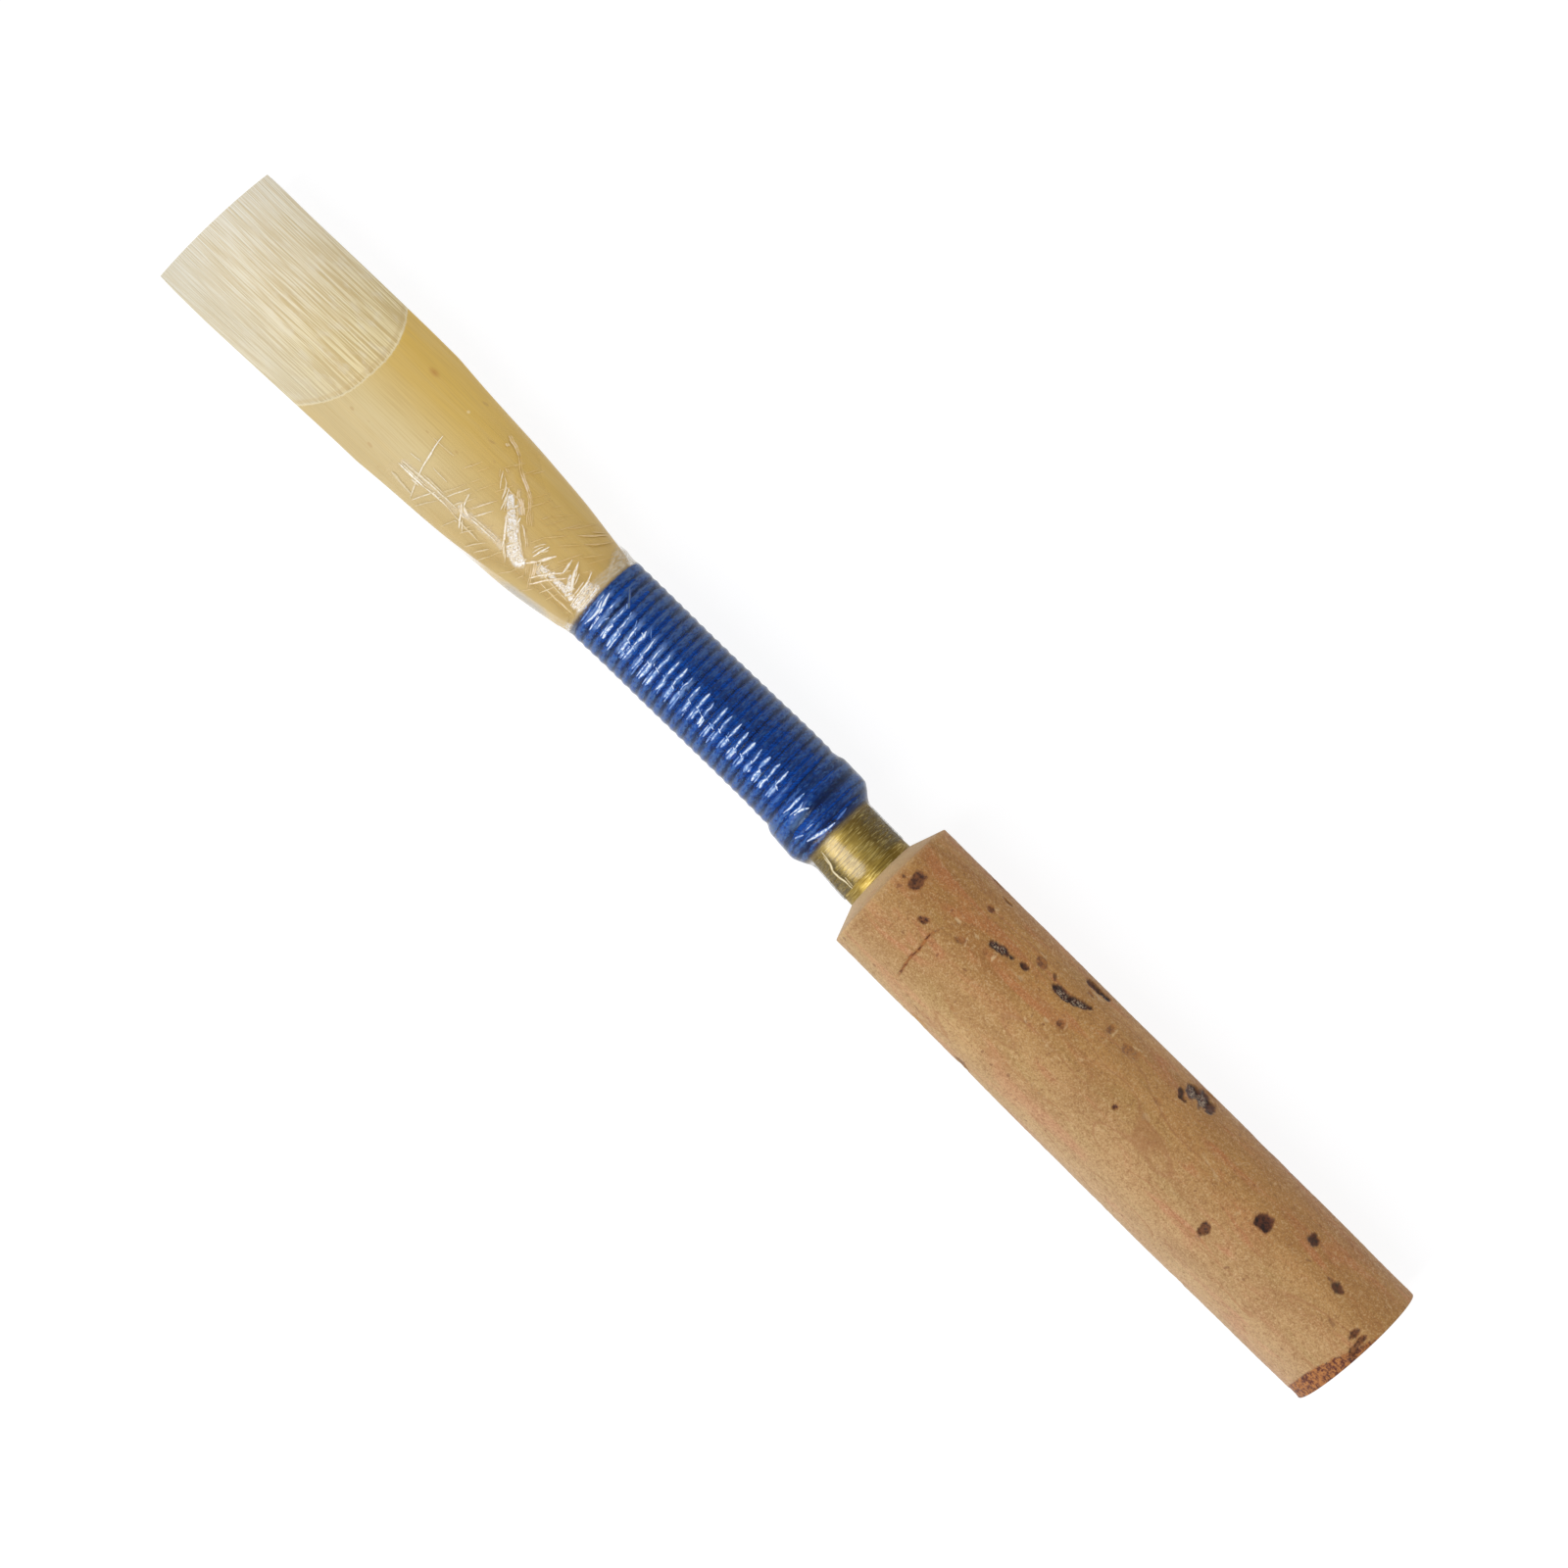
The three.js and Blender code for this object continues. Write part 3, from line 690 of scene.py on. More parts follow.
# Film: marks are how creased, with a painted highlight halo over the thread, how veiled and how far inside a
# spot is, from 0 to 1. place is the station, Y and how near a turn's crest it is, or on the cane how
# strongly the sliver beside the edge shows.
def film_finish():
    finish = Finish("clear_film")
    place = finish.place()
    crease_with_highlight, veil, inside = finish.split(finish.attribute("film_marks"))
    station, side, ridge = finish.split(finish.attribute("film_place"))
    frost = finish.noise(place, (7.0, 3.0, 3.0), 4.0, 0.7)
    wisps = finish.noise(place, (8.0, 2.6, 2.6), 3.0, 0.65, 0.6)
    mottle = finish.noise(place, (9.0, 4.0, 4.0), 3.0, 0.7)
    crumple = finish.noise(place, (9.0, 9.0, 9.0), 2.0, 0.6, 0.4)
    before_brass = finish.spread(station, 39.8, 40.2, 1.0, 0.0)
    over_thread = finish.times(finish.spread(station, 24.85, 25.1), before_brass)
    over_brass = finish.spread(station, 39.8, 40.2)
    # Painted shade: the film over the thread is darker in the grooves between turns and greyer towards +Y.
    turned = finish.tint(
        finish.mix(ridge, srgb(3, 18, 64), srgb(10, 82, 178)),
        (mottle, 0.5, 0.64, 0.6, 84, 132, 184),
        (mottle, 0.49, 0.36, 0.8, 6, 16, 52),
        (side, 0.3, 1.1, 0.4, 26, 46, 82),
        (ridge, 0.35, 0.0, 0.6, 5, 14, 44),
    )
    # Painted shade on the side away from the light, further down the winding.
    above = finish.times(finish.spread(side, -0.6, 0.3), finish.spread(side, 0.9, 1.5, 1.0, 0.0))
    further = finish.times(finish.spread(station, 28.0, 32.0, 0.0, 0.45), above)
    turned = finish.mix(further, turned, srgb(2, 20, 58))
    clear = finish.mix(over_thread, srgb(214, 186, 124), turned)
    clear = finish.mix(over_brass, clear, srgb(132, 116, 84))
    misty = finish.tint(srgb(206, 200, 190), (station, 22.0, 24.6, 1.0, 216, 205, 184))
    # Over the thread the veil is grey-blue, and at the flanks it is partly a painted reflection.
    misty = finish.mix(over_thread, misty, srgb(88, 116, 154))
    # Over the brass the veil is dark: painted shade on the brass's flanks.
    misty = finish.mix(over_brass, misty, srgb(108, 98, 74))
    white = finish.mix(over_thread, srgb(248, 244, 239), srgb(150, 182, 228))
    # Strong creases are crumpled and weak ones smooth.
    crumpled = finish.spread(crumple, 0.38, 0.58, 0.25, 1.1)
    uneven = finish.between(finish.spread(crease_with_highlight, 0.3, 0.75), 0.8, crumpled)
    creased_with_highlight = finish.times(crease_with_highlight, uneven, clamp=True)
    veiled = finish.times(veil, finish.spread(wisps, 0.36, 0.6, 0.35, 1.0), clamp=True)
    sliver = finish.times(ridge, finish.spread(station, 24.6, 25.0, 1.0, 0.0))
    hazy = finish.between(over_thread, finish.spread(veiled, 0.0, 0.2), finish.spread(veiled, 0.0, 0.8))
    colour = finish.mix(hazy, clear, misty)
    # Where the sliver starts it has the lit cane's colour, painted light over the shade on the cane's edge
    # beneath.
    at_edge = finish.tint(srgb(202, 176, 118), (sliver, 0.8, 1.05, 1.0, 170, 164, 152))
    colour = finish.mix(finish.spread(sliver, 0.0, 0.1), colour, at_edge)
    # Over the thread the white is mostly the painted highlight halo round the turns.
    bright_on_thread = finish.spread(creased_with_highlight, 0.02, 0.75)
    bright = finish.between(over_thread, finish.spread(creased_with_highlight, 0.0, 0.2), bright_on_thread)
    colour = finish.mix(bright, colour, white)
    # How much of the film shows. Its inside doesn't.
    shell = finish.plus(finish.times(over_thread, 0.74), finish.spread(station, 14.5, 19.0, 0.0, 0.06))
    shell = finish.math("MAXIMUM", shell, finish.spread(sliver, 0.02, 0.75, 0.0, 0.84))
    shell = finish.math("MAXIMUM", shell, finish.times(veiled, 0.8))
    shell = finish.math("MAXIMUM", shell, finish.spread(creased_with_highlight, 0.0, 0.62, 0.0, 0.97))
    alpha = finish.let_light_through(finish.times(shell, finish.math("SUBTRACT", 1.0, inside)))
    rough = finish.spread(frost, 0.3, 0.7, 0.12, 0.24)
    return finish.done(colour, rough, 0.3, (frost, 0.00002, 0.5), Alpha=alpha, IOR=1.45)


# Wrinkles, and the painted highlights on the thread's turns, made the same way: place is how far out towards
# the edge, the station and Y. Tone is how strong a line is, how warm, and how milky the film beside it is.
def wrinkle_and_highlight_finish():
    finish = Finish("film_wrinkles_and_highlights")
    edge, station, side = finish.split(finish.attribute("wrinkle_and_highlight_place"))
    strength, warmth, milky = finish.split(finish.attribute("wrinkle_and_highlight_tone"))
    broken = finish.noise(finish.place(), (9.0, 6.0, 6.0), 2.0, 0.6)
    tone = finish.times(finish.spread(edge, 1.0, 0.1), strength)
    tone = finish.times(tone, finish.spread(broken, 0.36, 0.56, 0.5, 1.1), clamp=True)
    # They are pale along the middle, and fade at their edges to the colour that lies under the film.
    cane_here = bark_colour_with_painted_light(finish, station, finish.times(side, -1.15))
    cane_here = finish.mix(milky, cane_here, srgb(222, 208, 184))
    on_cane = finish.mix(tone, cane_here, finish.mix(warmth, srgb(252, 247, 238), srgb(248, 226, 206)))
    # On the thread these lines are painted highlights: white along the middle with a light blue halo.
    blue = finish.mix(warmth, srgb(116, 156, 214), srgb(96, 116, 126))
    on_thread = finish.mix(finish.spread(tone, 0.0, 0.5), srgb(12, 62, 150), blue)
    on_thread = finish.tint(on_thread, (tone, 0.52, 0.95, 1.0, 236, 243, 253))
    on_brass = finish.mix(tone, srgb(158, 134, 74), srgb(240, 230, 198))
    colour = finish.mix(finish.spread(station, 24.9, 25.1), on_cane, on_thread)
    colour = finish.mix(finish.spread(station, 39.9, 40.1), colour, on_brass)
    rough = finish.spread(broken, 0.3, 0.7, 0.3, 0.45)
    return finish.done(colour, rough, 0.4, (broken, 0.00001, 0.5), Alpha=finish.let_light_through(1.0))


# A blade: its rows bend along the scrape line. The lower one, side -1, is the upper one turned over.
def blade_mesh(name, side):
    angles = np.linspace(0, math.pi, BLADE_POINTS_ACROSS)
    crown = BLADE_POINTS_ACROSS // 2
    across = np.cos(angles)
    line = scrape_line(across, side * SCRAPE_LEAN)
    start = TIP_TRIM + TIP_SLANT * (1 + side * across) / 2
    step = line - SCRAPE_STEP_RUN
    rows = [lerp(start, step, share) for share in np.linspace(0, 1, SCRAPED_ROWS)]
    rows += [lerp(step, line, share) for share in (0.3, 0.6, 0.85)]
    rows += [lerp(line, THROAT, share) for share in np.linspace(0, 1, BARK_ROWS)]
    tied = np.linspace(THROAT, BUTT, TIED_ROWS)[1:]
    rows += [np.full_like(across, station) for station in tied]
    station = np.array(rows)
    rise = np.maximum(np.sin(angles), 0) ** fullness(station)
    hollow = hollow_half_height(station)
    height = hollow + cane_thickness(station, across, side * SCRAPE_LEAN)
    beyond = (station - BLADE_DRIFT_STATION) / BLADE_DRIFT_REACH
    drift = (sway(station) + BLADE_DRIFT * np.exp(-beyond ** 2)) * side
    outer = grid_of(station, blade_half_width(station) * across + drift, EDGE_GAP / 2 + height * rise)
    inner = grid_of(station, hollow_half_width(station) * across + drift, EDGE_GAP / 2 + hollow * rise)
    steps = np.linalg.norm(np.diff(outer, axis=1)[:, :, 1:], axis=2)
    around = np.cumsum(np.pad(steps, ((0, 0), (1, 0))), axis=1)
    around -= around[:, crown:crown + 1]
    outer[:, :, 1:] *= side
    inner[:, :, 1:] *= side
    mesh = wall_mesh(name, outer, inner, False)
    # The inside's places lie beyond the scrape line, where the cane is plain.
    places = listed(grid_of(station, around, line - station), grid_of(station, around * 0.9 + 20, 4.0))
    store_vectors(mesh, "cane_place", places)
    return mesh


def staple_mesh(name):
    foot = REED_LENGTH - STAPLE_RECESS
    middle = np.arange(THROAT + STAPLE_BEVEL, foot - STAPLE_BEVEL, STAPLE_ROW_STEP)
    station = np.concatenate([[THROAT], middle, [foot - STAPLE_BEVEL, foot]])[:, None]
    cut = np.zeros_like(station)
    cut[[0, -1]] = STAPLE_BEVEL
    angles = np.linspace(0, 2 * math.pi, STAPLE_SIDES, endpoint=False)
    width = staple_half_width(station)
    height = staple_half_height(station)
    outer = rings(station, width - cut, height - cut, angles)
    inner = rings(station, width - STAPLE_WALL + cut, height - STAPLE_WALL + cut, angles)
    return wall_mesh(name, outer, inner, True)


# Marks in the cork: station, way round from the top, length, width, turn, depth, black, brown, pale.
# Pale marks with a negative depth stand up beside pits, and their pale is a painted highlight on the lit
# rim.
CORK_MARKS = (
    (44.14, 0.99, 0.6, 0.72, 0, 0.1, 0.7, 0.9, 0),
    (43.56, 0.7, 0.17, 0.15, 0, 0.04, 0.8, 0.4, 0),
    (45.5, -0.09, 0.38, 0.26, 15, 0.08, 0.6, 1, 0),
    (45.62, 0.06, 0.24, 0.14, 20, 0.03, 0.1, 0.8, 0),
    (46.6, 1, 0.42, 0.13, 0, 0.05, 0, 0, 0.8),
    (47.32, 0.46, 0.24, 0.5, -60, 0.08, 0.1, 0.55, 0),
    (47.52, 0.56, 0.1, 0.44, 25, -0.02, 0, 0, 0.8),
    (47.28, 2.62, 0.32, 0.3, -30, 0.09, 0.4, 0.8, 0),
    (47.46, 2.82, 0.3, 0.14, 35, -0.02, 0, 0, 0.7),
    (47.52, 3.9, 0.4, 0.2, 0, 0.09, 0.6, 0.4, 0),
    (47.64, 1.09, 0.28, 0.12, 0, 0.03, 0, 0, 0.7),
    (48.43, 0.87, 0.24, 0.26, 0, 0.06, 0.1, 0.5, 0),
    (48.86, 0.89, 0.14, 0.4, 0, -0.02, 0, 0.1, 0.8),
    (48.8, 1.46, 1.1, 0.36, 10, 0.14, 1, 0, 0),
    (50.06, 1.68, 0.38, 0.24, 12, 0.11, 0.9, 0.6, 0),
    (50.5, 2.5, 0.5, 0.46, 0, 0.09, 0.15, 0.75, 0),
    (50.3, 2.84, 0.5, 0.12, 0, -0.02, 0, 0, 0.6),
    (50.32, 1.15, 0.35, 0.2, 0, 0.04, 0, 0.15, 0.4),
    (52.16, 2.1, 1.1, 0.4, 6, 0.15, 1, 0, 0),
    (52.88, 2.38, 1.1, 0.38, 22, 0.15, 1, 0, 0),
    (51.34, 2.42, 0.42, 0.16, -50, 0.07, 0.5, 0.5, 0),
    (52.86, 4.02, 0.7, 0.5, 0, 0.16, 0.9, 0.2, 0),
    (53.52, 4.1, 0.5, 0.4, 0, 0.12, 1, 0, 0),
    (53.3, 3.6, 0.8, 0.2, 10, 0.05, 0, 0.2, 0.8),
    (53, 3.3, 0.4, 0.16, -20, 0.04, 0.2, 0.5, 0),
    (54.66, 2.6, 0.3, 0.6, 0, 0.09, 0.05, 0.62, 0),
    (54.9, 2.6, 0.12, 0.6, 0, -0.02, 0, 0, 0.6),
    (55.82, 2.42, 0.5, 0.5, 0, 0.08, 0, 0.6, 0),
    (56.22, 2.5, 0.38, 0.4, 0, 0.06, 0, 0.45, 0),
    (56.1, 2.84, 0.6, 0.1, 20, -0.02, 0, 0, 0.6),
    (52.98, 0.96, 0.36, 0.34, 30, 0.09, 0.15, 0.75, 0),
    (53.2, 1.02, 0.12, 0.36, 20, -0.02, 0, 0, 0.7),
    (52.4, 0.62, 0.32, 0.13, 0, 0.04, 0, 0.1, 0.7),
    (51.76, -0.05, 0.34, 0.11, -25, 0.04, 0, 0.1, 0.7),
    (53.18, -0.16, 0.28, 0.11, 0, 0.03, 0, 0, 0.5),
    (54.7, 0.48, 0.28, 0.11, 0, 0.03, 0, 0, 0.5),
    (57.14, 0.02, 0.18, 0.26, -20, 0.08, 0.5, 1, 0),
    (58.18, 1.61, 0.22, 0.24, 0, 0.04, 0, 0.3, 0),
    (59.16, 3.56, 0.66, 0.9, 0, 0.13, 1, 0, 0),
    (59.7, 3.74, 0.72, 1.24, 20, 0.14, 1, 0, 0),
    (60.18, 3.56, 0.42, 0.9, 0, 0.1, 0.9, 0.2, 0),
    (58.76, 2.86, 0.26, 0.5, 30, 0.1, 0.9, 0.2, 0),
    (58.98, 2.62, 0.42, 0.16, 10, 0.08, 0.8, 0.3, 0),
    (58.34, 1.61, 0.4, 0.3, 0, 0.05, 0, 0.4, 0.1),
    (58.4, 0.7, 0.48, 0.24, 0, 0.04, 0, 0.2, 0.4),
    (61.6, 1.2, 0.6, 0.09, -10, 0.03, 0, 0, 0.5),
    (62.2, 1.06, 0.7, 0.09, -14, 0.03, 0, 0.1, 0.5),
    (62.5, 0.9, 0.6, 0.08, -20, 0.03, 0, 0.1, 0.4),
    (63.6, -1, 0.38, 0.6, 0, 0.13, 0.75, 0.9, 0),
    (63.62, -1.56, 0.8, 0.14, 10, 0.02, 0, 0.35, 0),
    (65.22, 1.08, 0.74, 0.64, 25, 0.18, 0.94, 1, 0),
    (67.26, 2.17, 0.44, 0.54, 20, 0.13, 0.9, 0.3, 0),
    (69.36, 1.3, 0.56, 0.4, 0, 0.12, 0.85, 0.3, 0),
    (69, 1.36, 0.3, 0.12, 15, 0.05, 0.4, 0.4, 0),
    (71.42, 0.34, 0.28, 0.44, 0, 0.1, 0.75, 0.8, 0),
    (71.86, 0.36, 0.26, 0.6, 0, 0.1, 0.5, 0.9, 0),
    (71.98, -0.16, 0.26, 0.36, 0, 0.1, 0.5, 0.8, 0),
)

# The crack across the cork, the wavy line along it, and how far the rough bark reaches in from the foot.
CORK_CRACK = ((46.76, 0.98), (46.39, 0.38), (46.15, -0.32), (46.28, -1.21), (46.22, -1.68))
CORK_CRACK += ((46.33, -2.47), (46.4, -3.11))
CORK_WAVE = ((48.57, -1.93), (49.64, -2.19), (51.02, -2.46), (51.77, -2.32), (52.84, -2.05), (54.97, -1.92))
BARK_ROUND = (-7.5, -6.0, -4.5, -2.6, -1.4, -0.2, 1.0)
BARK_REACH = (0.0, 0.5, 0.92, 0.98, 0.78, 0.43, 0.0)


def hidden_marks():
    """Marks like those that show, on the sides and the back."""
    spots = np.random.default_rng(11)
    marks = []
    for number in range(HIDDEN_MARKS):
        station = spots.uniform(44.0, 71.4)
        around = spots.uniform(4.7, 17.0)
        if around > CORK_RADIUS * math.pi:
            around -= 2 * math.pi * CORK_RADIUS
        size = spots.uniform(0.2, 0.75)
        longer = spots.uniform(0.8, 2.2)
        dark = spots.choice((0.0, 0.5, 0.95), p=(0.4, 0.3, 0.3))
        brown = spots.uniform(0.2, 0.7)
        depth = spots.uniform(0.05, 0.14)
        marks.append((station, around, size * longer, size, spots.uniform(-30, 30), depth, dark, brown, 0))
    return marks


def cork_profile():
    """The radius and station of the cork's rings, from the bore at its top to the bore at its foot."""
    foot = CORK_FOOT_END
    rounded = CORK_FOOT_RADIUS - CORK_FOOT_ROUNDING
    rows = []
    bore_top = staple_half_width(CORK_TOP) + CORK_GLUE_GAP
    for share in np.linspace(0, 1, 12):
        radius = lerp(bore_top, CORK_RADIUS - 0.03, share)
        rows.append((radius, lerp(CORK_TOP, CORK_SHOULDER - 0.012, share)))
    for station in np.arange(CORK_SHOULDER + 0.02, foot - 0.1, CORK_ROW_STEP):
        taper = np.clip((station - foot + CORK_FOOT_TAPER) / CORK_FOOT_TAPER, 0, 1)
        rows.append((lerp(CORK_RADIUS, CORK_FOOT_RADIUS, taper), station))
    for turn in np.radians((20, 55, 90)):
        station = foot - CORK_FOOT_ROUNDING * (1 - math.sin(turn))
        rows.append((rounded + CORK_FOOT_ROUNDING * math.cos(turn), station))
    bore_foot = staple_half_width(foot) + CORK_GLUE_GAP
    for share in (0.3, 0.6, 1.0):
        rows.append((lerp(rounded, bore_foot, share), foot))
    return np.array(rows)


def cork_mesh(name):
    angles = uneven_angles(*CORK_SIDES)
    foot = CORK_FOOT_END
    radius, station = (column[:, None] + 0 * angles for column in cork_profile().T)
    # The way round from the top, towards +Y, in millimetres on the outside.
    around = CORK_RADIUS * ((math.pi / 2 - angles + math.pi) % (2 * math.pi) - math.pi) + 0 * radius
    solid = grid_of(station, radius * np.cos(angles), radius * np.sin(angles))
    ragged = grain(solid, 3.2, 1)
    fine = grain(solid, 9.0, 2)
    depth = 0.012 * fine + 0.02 * grain(solid, (0.5, 0.9, 0.9), 3) + 0.008 * ragged
    black, brown, pale = np.zeros((3, *radius.shape))
    for at, turn_way, length, width, turned, deep, dark, red, light in (*CORK_MARKS, *hidden_marks()):
        near = np.abs(station - at) < length + width + 0.6
        grown = 0.5 if light else 0.7
        along = (station - at)[near]
        across = (around - turn_way)[near]
        cosine = math.cos(math.radians(turned))
        sine = math.sin(math.radians(turned))
        u = (along * cosine + across * sine) / (length * grown)
        v = (across * cosine - along * sine) / (width * grown)
        inside = 1 - np.hypot(u, v) + 0.34 * ragged[near] + 0.2 * fine[near]
        body = smooth(inside, 0.0, 0.3)
        rim = within(inside, -0.05, 0.1, 0.12, 0.35)
        depth[near] -= deep * smooth(inside, -0.05, 0.5)
        black[near] = np.maximum(black[near], dark * body)
        brown[near] = np.maximum(brown[near], np.maximum(red * body, 0.5 * red * rim))
        pit_floor = smooth(inside, 0.38, 0.62) if dark > 0.95 else 0
        pale[near] = np.maximum(pale[near], np.maximum(light * body, pit_floor))
    far, share = way_to_line(station, around, CORK_CRACK)
    crack = smooth(-far, -0.085, -0.03) * (within(share, 0.12, 0.4, 0.86, 1.0) * 0.8 + 0.2)
    depth -= 0.09 * crack
    brown = np.maximum(brown, crack * 0.95)
    far, share = way_to_line(station, around, CORK_WAVE)
    wave = smooth(-far, -0.14, -0.02) * (0.5 + 0.5 * ragged)
    brown = np.maximum(brown, np.clip(wave, 0, 1) * 0.35)
    reach = np.interp(around + 0.25 * ragged, BARK_ROUND, BARK_REACH)
    bark = smooth(station - (foot - reach), -0.03, 0.05) * (reach > 0.02)
    brown = np.maximum(brown, bark)
    black = np.maximum(black, bark * smooth(fine + ragged, 0.35, 0.8) * 0.6)
    depth += bark * (0.03 * ragged - 0.03)
    pale = np.maximum(pale, (1 - smooth(station, CORK_TOP + 0.1, CORK_SHOULDER + 0.3)) * 0.75)
    on_side = smooth(station, CORK_SHOULDER - 0.2, CORK_SHOULDER + 0.1) * (station < foot - 0.05)
    depth = np.minimum(depth * on_side, 0.012)
    outer = rings(station, radius + depth, radius + depth, angles)
    # The foot isn't cut quite square.
    shorter = FOOT_SLANT * (1 - solid[:, :, 1] / CORK_RADIUS) / 2
    shorter += FOOT_LEAN * (1 - solid[:, :, 2] / CORK_RADIUS) / 2
    outer[:, :, 0] -= smooth(station, foot - 3, foot) * shorter
    # The bore's ends are the outside's first and last rings, so only two rings are new.
    bore = np.array(CORK_BORE_RINGS)
    bore_radius = staple_half_width(bore) + CORK_GLUE_GAP
    points = np.concatenate([outer, rings(bore, bore_radius, bore_radius, angles)])
    rows = numbered(points)
    bands = [quad_band(a, b, True) for a, b in zip(rows, np.roll(rows, -1, axis=0))]
    mesh = mesh_of(name, listed(points), np.concatenate(bands))
    marks = np.clip(listed(grid_of(black, brown, pale), np.zeros((2, len(angles), 3))), 0, 1)
    store_vectors(mesh, "cork_marks", marks)
    return mesh


def turn_station(turn):
    """Where the winding is after so many turns, which aren't quite even."""
    even = lerp(THROAT + FIRST_TURN_IN, THREAD_END - LAST_TURN_IN, turn / THREAD_TURNS)
    return even + 0.016 * np.sin(turn * 1.7) + 0.01 * np.sin(turn * 4.3 + 1.0)


def over_bed(station, angle, lift):
    """Points at a height over what the thread lies on."""
    width, height = bed_half_axes(station)
    return rings(station, width + lift, height + lift, angle)


def winding_path():
    """The middle of the strand, turn after turn, in millimetres."""
    turn = np.arange(0, THREAD_TURNS, 1 / POINTS_PER_TURN)
    # The first two turns are drawn towards the tip and the next two away, where the thread begins.
    notch = np.exp(-(((turn % 1) - 0.21) / 0.13) ** 2)
    notch = notch * np.where(turn < 2, -0.1, 0.1) * np.exp(-np.abs(turn - 2) / 1.4)
    return over_bed(turn_station(turn) + notch, 2 * math.pi * turn, STRAND_HEIGHT / 2 + STRAND_LIFT)


def second_layer_path():
    """The hitches over the last turns, in millimetres."""
    turn = np.arange(0, SECOND_LAYER_TURNS[-1], 1 / POINTS_PER_TURN)
    angle = -2 * math.pi * turn - SECOND_LAYER_START
    lean = SECOND_LAYER_LEAN * np.sin(SECOND_LAYER_START - angle) * smooth(turn, 0.6, 1.4)
    station = np.interp(turn, SECOND_LAYER_TURNS, SECOND_LAYER_STATIONS) + lean
    lift = STRAND_LIFT + STRAND_HEIGHT + SECOND_LAYER_HEIGHT / 2 - 0.02
    lift = lift - 0.2 * smooth(turn, 3.1, 3.5) - 0.14 * (1 - smooth(turn, 0.8, 1.5))
    return over_bed(station, angle, lift)


# A strand of three plies laid along a path, and pressed flat against what it lies on.
STRAND_SOCKETS = (
    ("Geometry", "Geometry"),
    ("Strand Width", "Float"),
    ("Flattening", "Float"),
    ("Ply Depth", "Float"),
    ("Lay Length", "Float"),
    ("Axis Height", "Float"),
    ("Sides", "Int"),
    ("Material", "Material"),
)


def strand_tree():
    tree = bpy.data.node_groups.new("laid_strand", "GeometryNodeTree")
    for name, kind in STRAND_SOCKETS:
        tree.interface.new_socket(name, in_out="INPUT", socket_type="NodeSocket" + kind)
    tree.interface.new_socket("Geometry", in_out="OUTPUT", socket_type="NodeSocketGeometry")
    laid = Nodes(tree)
    given = tree.nodes.new("NodeGroupInput").outputs

    def store(geometry, name, kind, value):
        inputs = {"Geometry": geometry, "Name": name, "Value": value}
        return laid.add("GeometryNodeStoreNamedAttribute", inputs, data_type=kind, domain="POINT")

    def position():
        return laid.add("GeometryNodeInputPosition", {})

    def scaled(vector, scale):
        return laid.add("ShaderNodeVectorMath", {0: vector, "Scale": scale}, "Vector", operation="SCALE")

    def normalized(vector):
        return laid.add("ShaderNodeVectorMath", {0: vector}, "Vector", operation="NORMALIZE")

    # The path keeps its own place and length, and is twisted once in each lay length.
    length = laid.add("GeometryNodeSplineParameter", {}, "Length")
    path = laid.add("GeometryNodeMeshToCurve", {0: given["Geometry"]})
    path = store(path, "strand_middle", "FLOAT_VECTOR", position())
    path = store(path, "strand_length", "FLOAT", length)
    tilt = laid.times(laid.math("DIVIDE", length, given["Lay Length"]), 2 * math.pi)
    path = laid.add("GeometryNodeSetCurveTilt", {"Curve": path, "Tilt": tilt})
    # The section has three lobes, one for each ply.
    radius = laid.times(given["Strand Width"], 0.5)
    circle = {"Resolution": given["Sides"], "Radius": radius}
    section = laid.add("GeometryNodeCurvePrimitiveCircle", circle, "Curve")
    spot = position()
    x, y, _ = laid.split(spot)
    lobe = laid.math("COSINE", laid.times(laid.math("ARCTAN2", y, x), 3.0))
    inward = laid.times(laid.math("SUBTRACT", lobe, 1.0), laid.times(given["Ply Depth"], 0.5))
    lobes = {"Geometry": section, "Offset": scaled(normalized(spot), inward)}
    section = store(laid.add("GeometryNodeSetPosition", lobes), "strand_place", "FLOAT_VECTOR", position())
    swept = {"Curve": path, "Profile Curve": section, "Fill Caps": True}
    strand = laid.add("GeometryNodeCurveToMesh", swept)
    # Each point moves part of the way back to the strand's middle, square to the bed.
    named = {"Name": "strand_middle"}
    middle = laid.add("GeometryNodeInputNamedAttribute", named, "Attribute", data_type="FLOAT_VECTOR")
    _, y, z = laid.split(middle)
    over_axis = laid.math("SUBTRACT", z, given["Axis Height"])
    outward = normalized(laid.add("ShaderNodeCombineXYZ", {"Y": y, "Z": over_axis}))
    rise = laid.vector("DOT_PRODUCT", laid.vector("SUBTRACT", position(), middle), outward, "Value")
    back = laid.times(laid.times(rise, given["Flattening"]), -1.0)
    strand = laid.add("GeometryNodeSetPosition", {"Geometry": strand, "Offset": scaled(outward, back)})
    strand = laid.add("GeometryNodeRealizeInstances", {0: strand})
    strand = laid.add("GeometryNodeSetMaterial", {"Geometry": strand, "Material": given["Material"]})
    laid.feed(tree.nodes.new("NodeGroupOutput").inputs[0], strand)
    return tree


